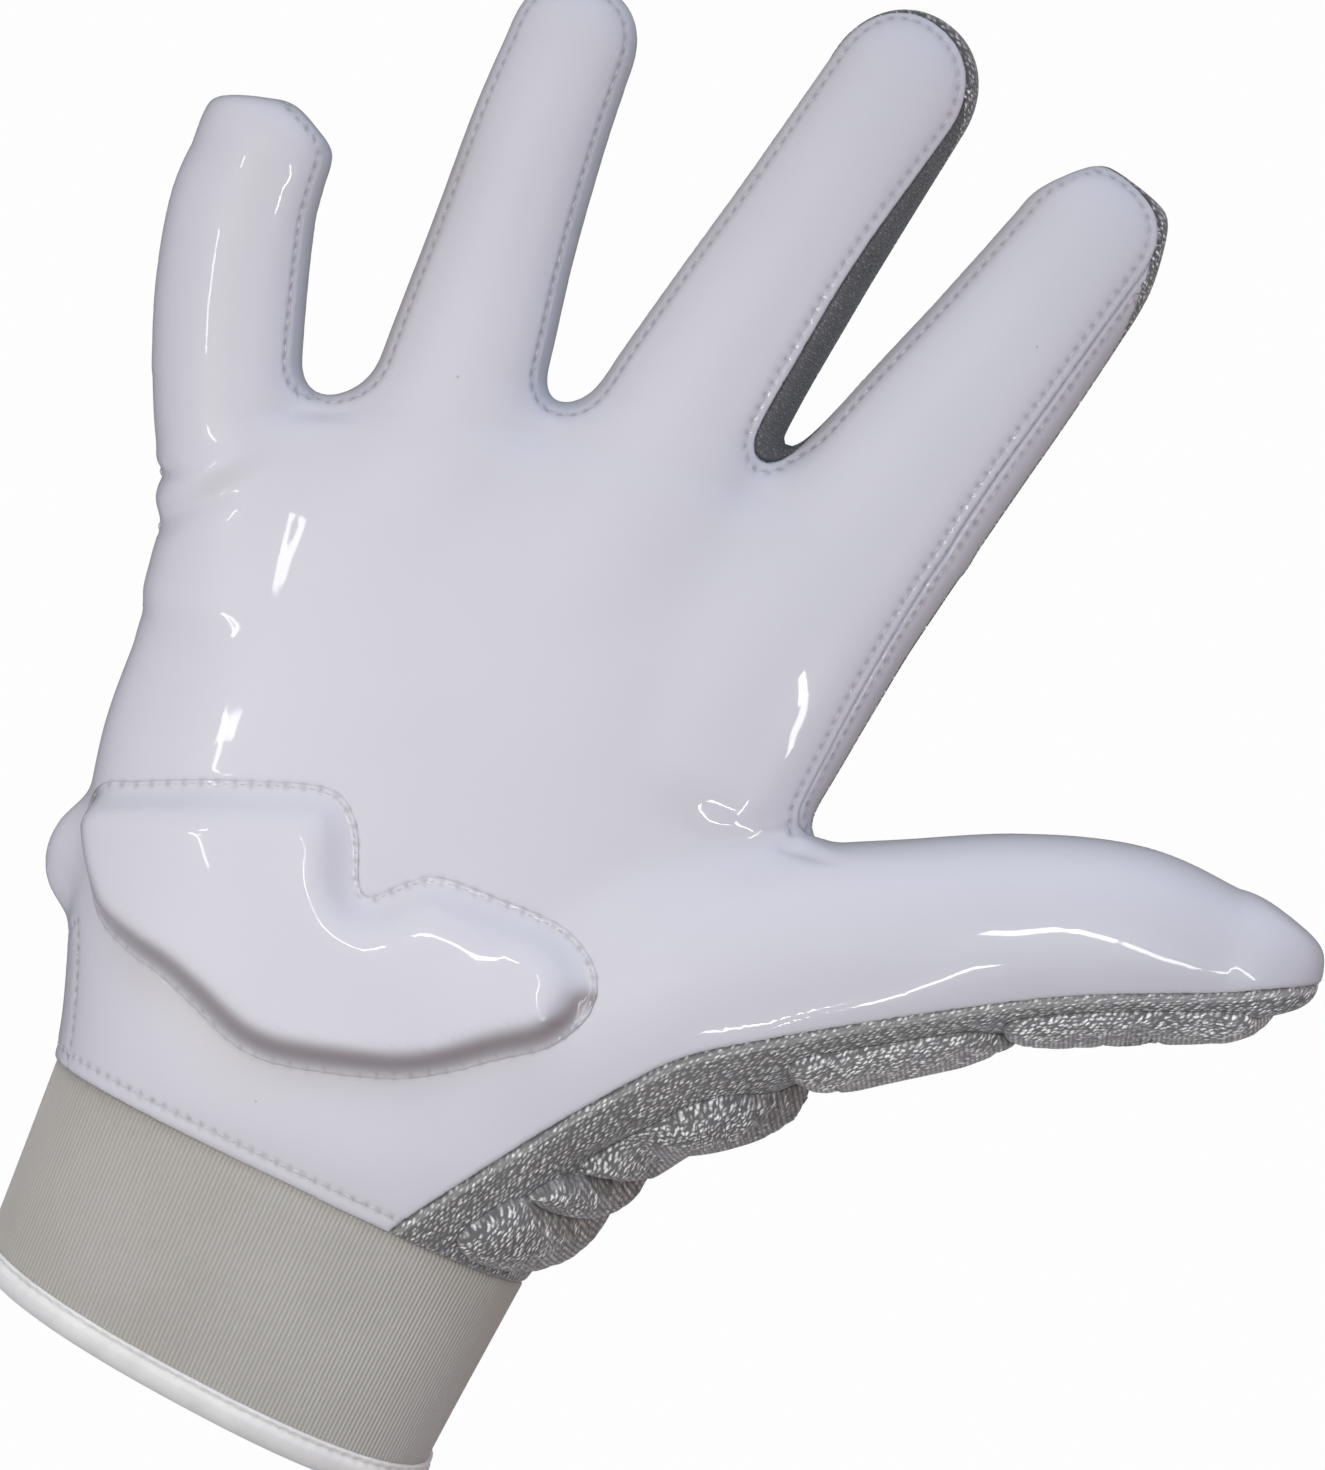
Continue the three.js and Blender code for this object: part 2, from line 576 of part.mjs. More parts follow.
const glove = new THREE.Group();
function addPiece(name, solid, finish) {
  const largest = solid.decompose().sort((a, b) => b.volume() - a.volume())[0];
  const mesh = new THREE.Mesh(geometryOf(largest), materials[finish]);
  mesh.name = name;
  glove.add(mesh);
}

addPiece('palm_panel', palmPanel, 'palm_leather');
addPiece('back_panel', backPanel, 'silver_knit');
for (const [name, sides] of Object.entries(STRIPS)) {
  const finish = name === 'index_side_panel' ? 'palm_leather' : 'strip_knit';
  addPiece(name, rear.intersect(stripRegion(sides, 0)), finish);
}
const handMesh = new THREE.Mesh(geometryOf(handOuter), new THREE.MeshBasicMaterial({ side: THREE.DoubleSide }));
addPiece('heel_pad', heelPadSolid(handMesh).subtract(cleared), 'palm_leather');

const cuffSolid = bandSolid(CUFF_ROWS, CUFF_WALL);
addPiece('cuff', cuffSolid, 'rib_knit');
addPiece('cuff_binding', bindingSolid(), 'binding_tape');

let above = null;
for (const [name, pad] of Object.entries(PADS)) {
  const whole = padSolid(pad, 0).subtract(cleared);
  addPiece(name, above ? whole.subtract(above) : whole, 'silver_knit');
  const grown = padSolid(pad, GAP);
  above = above ? above.add(grown) : grown;
}

export default glove;
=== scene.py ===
import json
import math

import bpy
import numpy as np
import openvdb
from mathutils import Matrix, Vector

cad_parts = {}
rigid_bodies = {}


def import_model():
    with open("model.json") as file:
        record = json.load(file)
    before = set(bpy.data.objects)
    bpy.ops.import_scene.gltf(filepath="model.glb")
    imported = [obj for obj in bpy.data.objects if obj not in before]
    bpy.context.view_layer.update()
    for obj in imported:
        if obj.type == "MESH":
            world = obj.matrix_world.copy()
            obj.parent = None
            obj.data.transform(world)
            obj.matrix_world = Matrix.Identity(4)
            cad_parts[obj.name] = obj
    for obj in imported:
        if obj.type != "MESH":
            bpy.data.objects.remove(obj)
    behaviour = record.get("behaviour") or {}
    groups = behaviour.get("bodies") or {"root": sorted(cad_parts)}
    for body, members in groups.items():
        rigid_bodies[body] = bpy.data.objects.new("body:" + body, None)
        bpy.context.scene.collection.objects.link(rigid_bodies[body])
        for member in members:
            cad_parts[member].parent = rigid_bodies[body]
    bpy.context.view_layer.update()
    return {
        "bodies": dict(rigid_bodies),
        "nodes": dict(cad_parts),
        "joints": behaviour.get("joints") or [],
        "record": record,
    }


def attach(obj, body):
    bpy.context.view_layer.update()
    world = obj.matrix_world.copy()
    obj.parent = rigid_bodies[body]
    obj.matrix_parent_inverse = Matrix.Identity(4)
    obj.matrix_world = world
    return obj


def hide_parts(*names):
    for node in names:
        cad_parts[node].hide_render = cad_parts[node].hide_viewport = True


# A right-hand lineman football glove, held in the form of a spread hand. The hand is one smooth
# field, meshed once and cut along its seams into the palm leather, the knit back and the side
# strips. Pads, stitches, cuff and tape are built on it. Sizes are in millimetres up to the
# point where a mesh becomes a Blender object.
MM = 0.001

# Palm and back of the hand, one row for each section from the wrist up. The columns are the
# section's ends, the rise of its middle, its depths in front and behind, and how fast it climbs
# from front to back.
PALM_COLUMNS = ("left_x", "left_z", "right_x", "right_z", "rise", "front", "back", "nod")
PALM_ROWS = (
    (-39.2, 33, 37.5, 32, 0, 23.5, 22, -0.09),
    (-41, 40, 39.5, 40, 0, 24, 21.5, -0.04),
    (-43.8, 48, 42, 48, 0, 23.5, 21, 0),
    (-47.8, 58, 44, 57, 0, 21.5, 20, 0),
    (-50.6, 70, 46, 68, 0, 19.5, 18.5, 0),
    (-53.2, 82, 46, 82, 0, 17, 17, 0),
    (-54.2, 95, 45.5, 96, 0, 15.5, 16, 0),
    (-54.6, 108, 45, 110, 1, 14.5, 15.5, 0),
    (-55.7, 117, 45.5, 124, 3, 14, 15, 0),
    (-57.5, 123.5, 45, 137.5, 5, 12.7, 13.5, 0),
    (-56.5, 128, 42, 148, 6, 10.8, 11.5, 0),
    (-53, 131.5, 38, 152.5, 6.4, 7.8, 8.4, 0),
)
PALM_TOP = 4.0  # rounded reach past the last row
SLANT_REACH = 1.1  # how far a slant across the palm or a digit goes on beside it, in half widths
PALM_ROUNDNESS = 2.6  # superellipse powers
DIGIT_ROUNDNESS = 2.25
PALM_EDGE = (5.0, -5.0)  # depth of the leather's edge at the left and right end of EDGE_ROW
EDGE_ROW = 6
EDGE_BLEND = 2.0  # distance over which the edges on the palm and the digits blend

# The digits, one row for each section: its centre, its half sizes, and the depths of the
# leather's edge on its two sides. tip is the length of the rounded end, square its power.
DIGIT_COLUMNS = ("x", "y", "z", "wide", "front", "back", "left", "right")
DIGITS = {
    "little": {"tip": 10.5, "square": 3.4, "blend": 6.0, "rows": (
        (-46, 1, 106, 10, 10, 11.5, 1, 1),
        (-50.2, 1, 118, 9.7, 11, 11.5, 1, 1),
        (-56.4, 0, 131, 10.5, 11, 11, 1, 1),
        (-61.8, -2, 144.5, 10.9, 10, 10, 1, 1.5),
        (-65.4, -4, 157, 10.6, 9.3, 9.3, 0.5, 1.5),
        (-66.1, -5.5, 165, 9.9, 8.8, 8.6, 0, 1),
    )},
    "ring": {"tip": 10.5, "square": 2.35, "blend": 6.0, "rows": (
        (-24, 1, 118, 10.5, 9, 12, -1, 0),
        (-25.3, 0.5, 135, 12.3, 12.3, 12, -1, 0.5),
        (-27.2, -0.5, 152, 11.8, 11, 11, -1, 0.5),
        (-29.5, -2, 170, 10.5, 10, 10, -1, 0.5),
        (-31.2, -4, 186, 9.8, 9.6, 9.4, -1, 0.5),
        (-31.9, -5.5, 198.5, 9.2, 9, 8.8, -1, 0),
    )},
    "middle": {"tip": 12.4, "square": 2.1, "blend": 6.0, "rows": (
        (3, 1, 122, 12, 10.5, 12.5, -2, -10),
        (3.8, 0.5, 140, 13.2, 12.6, 12.4, -2, -10),
        (5.2, 0, 156, 13.3, 11.4, 11.6, -2, -9),
        (7.6, -1, 173, 12.7, 10.5, 10.5, -2, -8.6),
        (10.3, -2.5, 191, 11.8, 10.2, 10, -2, -8.4),
        (13.6, -4, 213, 11.1, 9.6, 9.4, -2.2, -6),
    )},
    "index": {"tip": 13.0, "square": 3.0, "blend": 6.0, "rows": (
        (31, 1, 114, 14.8, 13, 13.5, -1, -10.5),
        (32.8, 0.5, 132, 15.4, 12.8, 12.8, -1, -10.8),
        (35.6, 0, 150, 15.3, 11.8, 11.8, -1, -9.7),
        (39.3, -1, 167, 14.3, 10.8, 10.8, -1, -9.3),
        (43.7, -2, 185, 12.9, 10.3, 10.2, -1, -9),
        (47.7, -3, 203, 11.5, 9.7, 9.6, -1, -8),
    )},
    "thumb": {"tip": 14.5, "square": 2.35, "blend": 6.6, "rows": (
        (22, 0, 52, 17.5, 18, 17, 4, -8),
        (30, -2, 66, 18.8, 18, 17, 4, -8),
        (41, -4, 81, 18.6, 17, 16, 4, -8),
        (54, -5, 93, 16.6, 15.5, 14.5, 4, -7),
        (68, -6, 102.5, 15.2, 14, 13, 3, -6),
        (82, -6, 111, 14.2, 12.8, 12, 2, -5),
        (96, -6, 117, 13, 11.8, 11, 1, -4),
        (109.5, -5.5, 120, 10, 10, 9.5, 0, -3),
    )},
}
ROOT = 6.0  # rounded reach of a digit below its first row
DIGIT_REACH = 32.0  # beyond this distance from its line a digit no longer shapes the hand

# Flat cuts on the tips: a place on the cut as x and z, and where it faces, in degrees from +x
TIP_CUTS = {
    "little": ((-70.4, 173.4, 111), (-62.7, 174.2, 64)),
    "index": ((53, 216.6, 75), (41.5, 213.5, 137), (57.8, 209, 11)),
    "thumb": ((118.4, 128.6, 76), (121.8, 113.4, -23), (111.8, 110.2, -55)),
}
TIP_CUT_ROUND = 1.5

# Bulge of leather at the outer heel of the hand: centre, half sizes and blend
SIDE_FOLD = {"centre": (-45.6, -1.5, 63.0), "half": (7.8, 5.5, 9.0), "blend": 3.0}

# Seam between the leather and the silver knit, as x and z from the wrist to the thumb's tip
KNIT_SEAM = (
    (13.5, 28), (17.2, 35.5), (22.5, 44.2), (29.9, 55.5), (37.6, 66.5), (44.4, 74.9),
    (54.2, 82.2), (64, 88.9), (73.6, 95.3), (83.4, 101.5), (93.3, 107.2), (103.3, 112),
    (110.4, 115.3), (117, 119), (124.5, 122.5), (132, 124),
)

# Side strips between the palm and the back of each finger: the finger on their left and on
# their right, and the height where the strip starts
STRIPS = {
    "fourchette_little_ring": ("little", "ring", 118.0),
    "fourchette_ring_middle": ("ring", "middle", 130.0),
    "fourchette_middle_index": ("middle", "index", 130.0),
    "index_side_panel": ("index", None, 106.0),
}
# How far the strips reach behind the leather's edge and the last one round its finger, the ways
# over which they narrow at the foot and before the tip, and the share of the rounded tip they cover
STRIP = {"deep": 8.0, "round": 24.0, "foot": 10, "tip": 12, "cover": 0.55}

# Heel pad: the upper and the lower part of its sewn outline on the palm, as x and z
HEEL_PAD_TOP = (
    (-49.6, 70), (-48.8, 74), (-44, 76.8), (-36.3, 80.9), (-28.9, 84.2), (-22, 87), (-17.2, 88),
    (-13.7, 86.2), (-11.2, 83), (-8.6, 77.6), (-6.2, 76.7), (-2.4, 80.6), (1.5, 83.2), (10.3, 84),
    (20.1, 84.2), (26, 82), (28.8, 78.8), (29.3, 75),
)
HEEL_PAD_FOOT = (
    (28, 71.2), (25.4, 67.5), (20.1, 63.4), (14.5, 58.8), (8.5, 55.1), (1.8, 52.6), (-5.2, 50.5),
    (-10.5, 49.5), (-16, 49.9), (-22.5, 52), (-28.5, 53.7), (-34.5, 54.6), (-40.4, 56.6),
    (-44.8, 61.3), (-47.6, 66),
)
# Its height in the middle and at the rim, the stitches' distance from the rim, the steps between
# two points of the outline, and the least thickness and the lower side's height over the palm
HEEL_PAD = {"high": 4.4, "rim": 0.15, "sewn": 0.5, "steps": 8, "least": 0.12, "under": 0.2}
HEEL_LIFT = 0.15  # added to its height everywhere
HEEL_PAD_SLOPES = {"top": (0.6, 6.4), "foot": (0.3, 3.4)}  # flat margin and width of the slope
HEEL_SHADE = (2.1, 1.5, 1.5)  # painted shade, with grime, at the foot of the slope: its distance, width and strength

# Cuff rows: height, half sizes, and how fast its level climbs across and from front to back
CUFF_COLUMNS = ("z", "wide", "deep", "lean", "nod")
CUFF_ROWS = (
    (1, 36.3, 23.2, -0.06, 0.02),
    (13, 37, 23.6, -0.03, 0.02),
    (33.4, 38.3, 23.1, -0.015, -0.09),
)
CUFF_STEPS = 12  # smooth steps between two rows
CUFF_RINGS = (14, 6)  # rings on the outside and on the inside
CUFF_PAST = 1.2  # how far it goes on past the last row, and how high its foot starts
CUFF_TUCK = 1.6  # how far its upper end draws in
CUFF_WAVE = 0.25  # depth of the waves round its middle
CUFF_CENTRE_X = -0.8
CUFF_ROUNDNESS = 2.3
CUFF_WALL = 1.8
RIB_PITCH = 0.66
RIB_DEEP = 0.2
RIB_SIDES = 4  # faces round one rib
# The tape: height, how far it stands out, stitches round it and steps for each, how far they pull
# it in, how far below its upper edge they run and the width of the dent
BINDING = {"high": 4.0, "proud": 1.0, "stitches": 94, "steps": 8, "pull": 0.3, "seam": 0.75, "dent": 0.45}

# Creases pressed into the palm's leather: two ends as x and z, depth, half width, and the height
# of the ridge on their upper side
CREASES = (
    (-66, 116.5, -55, 120, 0.6, 1.2, 0.2),
    (-60.5, 107.5, -44, 128, 0.8, 1.9, 0.7),
    (-60, 99.5, -52, 98, 0.5, 2.0, 0.1),
    (42.5, 107.0, 52.5, 109.0, 0.45, 0.7, 0.5),
    (40.5, 108.6, 46.0, 111.4, 0.3, 0.6, 0.2),
)
CREASE_BACK = (2, 8)  # y where they fade out towards the back
RIDGE = {"away": 1.9, "wide": 1.1}  # of the ridge, in half widths of the crease

# Stitches: length, gap, thread radius and how deep the thread's groove and holes go
STITCH = {"long": 1.35, "gap": 0.65, "thread": 0.14, "groove": 0.12, "hole": 0.2}
PAD_STITCH = {"long": 1.8, "gap": 0.7, "thread": 0.17, "groove": 0.14, "hole": 0.28}
# Half widths of the groove, of a hole and of the painted shade in the hole, and the way between two
# measured points
STITCH_SPREAD = {"groove": 0.7, "hole": 0.5, "dark": 0.42, "step": 0.4}
# Rings of one thread: places along it and widths as shares of its length and radius. Then its
# faces round, the height of its bow and the depth of its ends in radii, and how flat it is
THREAD_RINGS = ((0, 0.15), (0.06, 0.8), (0.3, 1), (0.5, 1.05), (0.7, 1), (0.94, 0.8), (1, 0.15))
THREAD = {"sides": 6, "bow": 1.6, "sunk": 0.9, "flat": 0.8}
SHORTEST_ROW = 35.0  # shorter seams are left unsewn
HEM = 2.4  # height of the stitch line above the palm's lower edge
TURNED_SEAM = (46.0, 124.0)  # to the right of this x and below this z the seam shows no stitches
THUMB_SIDE = 62.0  # nor does it to the right of this x

# Puffed pads under the knit beside the thumb: x and z of both ends, distance of the front edge
# from the seam, y of the back edge, height, and how far the ends shift for each step back
PAD_COLUMNS = ("foot_x", "foot_z", "head_x", "head_z", "margin", "back", "high", "lean")
THUMB_PADS = {
    "thumb_pad_1": (84.9, 101.0, 119.5, 116.6, 2.5, 1, 2.3, 0.45),
    "thumb_pad_2": (62.0, 82.5, 87.0, 99.2, 3.5, 4, 3.0, 0.6),
    "thumb_pad_3": (41.2, 54.8, 59.8, 78.6, 7.0, 8, 4.8, 0.65),
    "thumb_pad_4": (38.3, 47.5, 43.9, 55.6, 6.6, 8, 4.0, 0.6),
    "thumb_pad_5": (36.0, 38.8, 41.1, 50.9, 5.6, 8, 2.6, 0.5),
}
PAD_MIDDLE = -6.0  # y about which the ends lean
PAD_CORNER = 5.0  # rounding of a pad's corners
PAD_REACH = 4.5  # distance from a pad's border to its full height
PAD_BULGE = 2.4  # power of that slope
PAD_LAYERS = {"over": 0.25, "under": 0.1}  # height of a flat pad's two sides over the skin
# The cloth simulation of the pads: scale of the copy, pressure, frames, growth of the cloth and
# how far a point may move
PUFF = {"scale": 20.0, "pressure": 4.0, "frames": 20, "growth": 0.04, "cap": 0.9}

WALL = 1.4  # of the leather and the knit
LEAST_WALL = 0.4  # where a relief presses into it
EDGE_ROLL = 0.9  # how far a wall's border rolls in
# How far each kind of piece and its stitches lie over the hand's skin
LIFT = {"palm": 0.15, "strip": -0.1, "heel_thread": 0.12, "palm_thread": -0.05, "side_thread": -0.3}
CELL = 1.1  # edge length of the hand's mesh, halved beside the seams
BLOCK = 4  # cells a side of the blocks that are searched for the skin
NEAR_SKIN = 2.6  # blocks within this many block widths of the skin are searched
BAND = 4.0  # distances from the skin are cut off here
GRID = ((-82.0, -30.0, 22.0), (130.0, 28.0, 232.0))  # corners of the box that holds the hand
EVENING = {"rounds": 4, "share": 0.6}  # of the mesh before it is laid on the skin
SEAM_ZONE = 1.8  # reach of the finer mesh on both sides of a seam or a row of stitches
# The stitches run STITCH_INSET from the leather's edge, and between the fingers only where the
# leather has TURNED to the front; TURN_REACH is the way along the skin for a whole turn. To the
# left of OUTER_SIDE, as x, the turn no longer counts
STITCH_INSET = 2.1
TURNED = 0.55
TURN_REACH = 12.0
OUTER_SIDE = (-48, -44)
SIDE_INSET = 1.3  # distance of the stitches from the edge on the side panel
HEEL_ZONE = 5.0  # reach of the finer mesh on both sides of the heel pad's outline

# The knit's loops: their distance along a row, and the distance between rows
LOOP_PITCH = 1.05
LOOP_ROW = 0.72
PAD_RIB = 0.74  # pitch of the ribs that show where the knit is stretched over a pad
FRINGE = 1.3  # width of the painted highlight on the knit's loops beside the leather
# Where the knit follows the thumb's seam: y where that ends, distances from the seam where it ends
# on the knit and on the leather, and how far to the front the skin has turned where the ribs end
WEAVE = {"back": (4, 9), "knit": (26, 34), "leather": (1, 4), "ribs": (0.5, 0.8)}
WEAVE_ROUND = {"share": 0.9, "y": 18}  # growth of the rows towards the back, and its start


# Numbers and curves

def smooth_rows(rows, steps):
    """Catmull-Rom curve through rows of numbers, with that many steps between two rows."""
    rows = np.array(rows, float)
    around = np.vstack([2 * rows[0] - rows[1], rows, 2 * rows[-1] - rows[-2]])
    t = np.linspace(0, 1, steps, endpoint=False)[:, None]
    parts = []
    for i in range(len(rows) - 1):
        a, b, c, d = around[i:i + 4]
        parts.append(0.5 * (2 * b + (c - a) * t + (2 * a - 5 * b + 4 * c - d) * t**2
                            + (3 * b - a - 3 * c + d) * t**3))
    return np.vstack(parts + [rows[-1:]])


def smooth_loop(points, steps):
    """Closed Catmull-Rom curve through points."""
    n = len(points)
    wrapped = [points[(i - 1) % n] for i in range(n + 3)]
    return smooth_rows(wrapped, steps)[steps:-steps - 1]


def arc_of(line):
    """Distance of each point of a line from the start, along the line."""
    steps = np.linalg.norm(np.diff(line, axis=0), axis=1)
    return np.concatenate([[0], np.cumsum(steps)])


def unit(vectors):
    return vectors / np.maximum(np.linalg.norm(vectors, axis=1, keepdims=True), 1e-12)


def blend_min(a, b, k):
    """The smaller of two distances, rounded off over k where they are alike."""
    share = np.clip(0.5 + 0.5 * (b - a) / k, 0, 1)
    return b + (a - b) * share - k * share * (1 - share)


def soft_step(value, low, high):
    t = np.clip((value - low) / (high - low), 0, 1)
    return t * t * (3 - 2 * t)


def fade(value, low, high):
    return 1 - soft_step(value, low, high)


def bell(distance, wide):
    return np.exp(-(distance / wide) ** 2)


def superellipse(u, v, wide, deep, power):
    """Radius of a point as a share of the outline's, and how fast that grows per millimetre."""
    a, b = np.abs(u) / wide, np.abs(v) / deep
    radius = np.maximum((a**power + b**power) ** (1 / power), 1e-6)
    slopes = [(ratio / radius) ** (power - 1) / size for ratio, size in ((a, wide), (b, deep))]
    return radius, np.hypot(*slopes)


# The hand as a field of distances

class Digit:
    """A finger or thumb: a bent superellipse tube with a rounded end."""

    STEPS = 16

    def __init__(self, spec, cuts):
        table = smooth_rows(spec["rows"], self.STEPS)
        self.columns = dict(zip(DIGIT_COLUMNS, table.T))
        self.centre = table[:, :3]
        self.tangent = unit(np.gradient(self.centre, axis=0))
        depth = np.array([0.0, 1.0, 0.0]) - self.tangent * self.tangent[:, 1:2]
        self.depth = unit(depth)
        self.side = np.cross(self.depth, self.tangent)
        self.arc = arc_of(self.centre)
        self.tip = spec["tip"]
        self.square = spec["square"]
        self.blend = spec["blend"]
        self.cuts = [(x, z, math.cos(math.radians(turn)), math.sin(math.radians(turn)))
                     for x, z, turn in cuts]

    def local(self, points):
        """Where points lie beside the digit's line, and the table's values there."""
        centre = self.centre
        rough = centre.astype(np.float32)
        near = ((rough**2).sum(1) - 2 * points.astype(np.float32) @ rough.T).argmin(1)
        ahead = ((points - centre[near]) * self.tangent[near]).sum(1)
        other = np.clip(near + np.where(ahead > 0, 1, -1), 0, len(centre) - 1)
        span = np.abs(self.arc[other] - self.arc[near])
        share = np.where(span > 0, np.clip(np.abs(ahead) / np.maximum(span, 1e-9), 0, 1), 0)

        def at(column):
            mix = share if column.ndim == 1 else share[:, None]
            return column[near] * (1 - mix) + column[other] * mix

        offset = points - at(self.centre)
        here = {name: at(self.columns[name]) for name in ("wide", "front", "back", "left", "right")}
        here["x"], here["z"] = points[:, 0], points[:, 2]
        here["u"] = (offset * at(self.side)).sum(1)
        here["v"] = (offset * at(self.depth)).sum(1)
        here["over"] = np.where(near == len(centre) - 1, np.maximum(ahead, 0), 0)
        here["under"] = np.where(near == 0, np.maximum(-ahead, 0), 0)
        here["arc"] = at(self.arc)
        return here

    def distance(self, here):
        deep = np.where(here["v"] < 0, here["front"], here["back"])
        across, across_slope = superellipse(here["u"], here["v"], here["wide"], deep, DIGIT_ROUNDNESS)
        end = here["over"] / self.tip + here["under"] / ROOT
        end_size = np.where(here["over"] > 0, self.tip, ROOT)
        radius = np.maximum((across**self.square + end**self.square) ** (1 / self.square), 1e-6)
        slope = np.hypot((across / radius) ** (self.square - 1) * across_slope,
                         (end / radius) ** (self.square - 1) / end_size)
        value = (radius - 1) / slope
        for x, z, out_x, out_z in self.cuts:
            beyond = (here["x"] - x) * out_x + (here["z"] - z) * out_z
            value = -blend_min(-value, -beyond, TIP_CUT_ROUND)
        return value


HAND = {name: Digit(spec, TIP_CUTS.get(name, ())) for name, spec in DIGITS.items()}
PALM = dict(zip(PALM_COLUMNS, np.array(PALM_ROWS, float).T))
FAR = 60.0  # stands for any distance that is too large to matter
# Four places round a point
TETRAHEDRON = np.array([(1, -1, -1), (-1, -1, 1), (-1, 1, -1), (1, 1, 1)], float)


def palm_levels(x, y):
    """Height of every palm row over the points x, y."""
    middle = (PALM["left_x"] + PALM["right_x"]) / 2
    half = (PALM["right_x"] - PALM["left_x"]) / 2
    u = np.clip((x[:, None] - middle) / half, -SLANT_REACH, SLANT_REACH)
    along = PALM["left_z"] + (PALM["right_z"] - PALM["left_z"]) * (u + 1) / 2
    return along + PALM["rise"] * (1 - u**2) + PALM["nod"] * y[:, None]


def palm_distance(points):
    x, y, z = points.T
    levels = palm_levels(x, y)
    last = levels.shape[1] - 1
    low = np.clip((levels <= z[:, None]).sum(1) - 1, 0, last - 1)
    rows = np.arange(len(x))
    below, above = levels[rows, low], levels[rows, low + 1]
    span = above - below
    t = np.clip((z - below) / span, 0, 1)

    def at(values):
        """Smooth value between the rows, with slopes taken over the rows' own heights."""
        def slope(i):
            before, after = np.maximum(i - 1, 0), np.minimum(i + 1, last)
            return (values[after] - values[before]) / (levels[rows, after] - levels[rows, before])
        rise, fall = slope(low), slope(low + 1)
        return ((2 * t**3 - 3 * t**2 + 1) * values[low] + (t**3 - 2 * t**2 + t) * span * rise
                + (3 * t**2 - 2 * t**3) * values[low + 1] + (t**3 - t**2) * span * fall)

    middle = at((PALM["left_x"] + PALM["right_x"]) / 2)
    half = at((PALM["right_x"] - PALM["left_x"]) / 2)
    deep = np.where(y < 0, at(PALM["front"]), at(PALM["back"]))
    across, across_slope = superellipse(x - middle, y, half, deep, PALM_ROUNDNESS)
    over = np.maximum(z - levels[:, last], 0) / PALM_TOP
    radius = np.hypot(across, over)
    slope = np.hypot(across / radius * across_slope, over / radius / PALM_TOP)
    return (radius - 1) / slope


def fold_distance(points):
    offset = (points - np.array(SIDE_FOLD["centre"])) / np.array(SIDE_FOLD["half"])
    radius = np.maximum(np.linalg.norm(offset, axis=1), 1e-6)
    slope = np.linalg.norm(offset / np.array(SIDE_FOLD["half"]), axis=1) / radius
    return (radius - 1) / slope


def near_box(points, centre, reach):
    return ((points > centre.min(0) - reach) & (points < centre.max(0) + reach)).all(1)


def hand_field(points, chunk=150000):
    """Distance of each point from the hand's skin, negative inside."""
    total = np.empty(len(points))
    for start in range(0, len(points), chunk):
        part = points[start:start + chunk]
        value = blend_min(palm_distance(part), fold_distance(part), SIDE_FOLD["blend"])
        for digit in HAND.values():
            close = near_box(part, digit.centre, DIGIT_REACH)
            if close.any():
                own = digit.distance(digit.local(part[close]))
                value[close] = blend_min(value[close], own, digit.blend)
        total[start:start + chunk] = value
    return total


def gradient(field, points, step=0.05):
    """How fast a field grows along x, y and z, from four places round each point."""
    return sum(corner * field(points + step * corner)[:, None] for corner in TETRAHEDRON) / (4 * step)


def skin_normals(points):
    return unit(gradient(hand_field, points))


def settle(points, rounds=2):
    """Moves points onto the hand's skin."""
    for _ in range(rounds):
        slope = gradient(hand_field, points)
        value = hand_field(points)
        points = points - slope * (value / np.maximum((slope**2).sum(1), 1e-6))[:, None]
    return points


# Seams as fields: positive on the leather

KNIT_LINE = smooth_rows(KNIT_SEAM, 4)


def beside_segment(x, z, a, b):
    """Share of the way from a to b that lies nearest to each place, and the offset from there."""
    run = b - a
    t = np.clip(((x - a[0]) * run[0] + (z - a[1]) * run[1]) / max(run @ run, 1e-9), 0, 1)
    return t, x - a[0] - t * run[0], z - a[1] - t * run[1]


def line_place(x, z, line):
    """Distance from an open line in the x z plane, positive on its left, and how far along it."""
    best, sign, along = np.full(len(x), np.inf), np.ones(len(x)), np.zeros(len(x))
    passed = 0.0
    for a, b in zip(line[:-1], line[1:]):
        t, dx, dz = beside_segment(x, z, a, b)
        run = b - a
        gap = np.hypot(dx, dz)
        closer = gap < best
        best = np.where(closer, gap, best)
        sign = np.where(closer, np.sign(run[0] * dz - run[1] * dx), sign)
        along = np.where(closer, passed + t * math.hypot(*run), along)
        passed += math.hypot(*run)
    return best * sign, along


def knit_side(points):
    """Distance from the knit's seam seen from the front, positive on the leather."""
    return line_place(points[:, 0], points[:, 2], KNIT_LINE)[0]


def edge_field(points):
    """How far each point lies in front of the leather's edge planes, blended between digits."""
    x, y = points[:, 0], points[:, 1]
    left, right = PALM["left_x"][EDGE_ROW], PALM["right_x"][EDGE_ROW]
    share = np.clip((x - left) / (right - left), 0, 1)
    distances = [palm_distance(points)]
    depths = [PALM_EDGE[0] + (PALM_EDGE[1] - PALM_EDGE[0]) * share - y]
    for digit in HAND.values():
        here = digit.local(points)
        share = np.clip(here["u"] / here["wide"], -SLANT_REACH, SLANT_REACH) / 2 + 0.5
        depths.append(here["left"] + (here["right"] - here["left"]) * share - here["v"])
        distances.append(digit.distance(here))
    weights = np.exp(-np.clip(np.array(distances), -2 * EDGE_BLEND, FAR) / EDGE_BLEND)
    return (weights * np.array(depths)).sum(0) / weights.sum(0)


def above_wrist(points):
    return points[:, 2] - palm_levels(points[:, 0], points[:, 1])[:, 0]


def leather_field(points):
    return np.minimum(edge_field(points), knit_side(points))


def on_skin(field, points, normals, low=0.45):
    """A field's value as a distance along the skin."""
    slope = gradient(field, points)
    slope -= normals * (slope * normals).sum(1, keepdims=True)
    return field(points) / np.maximum(np.linalg.norm(slope, axis=1), low)


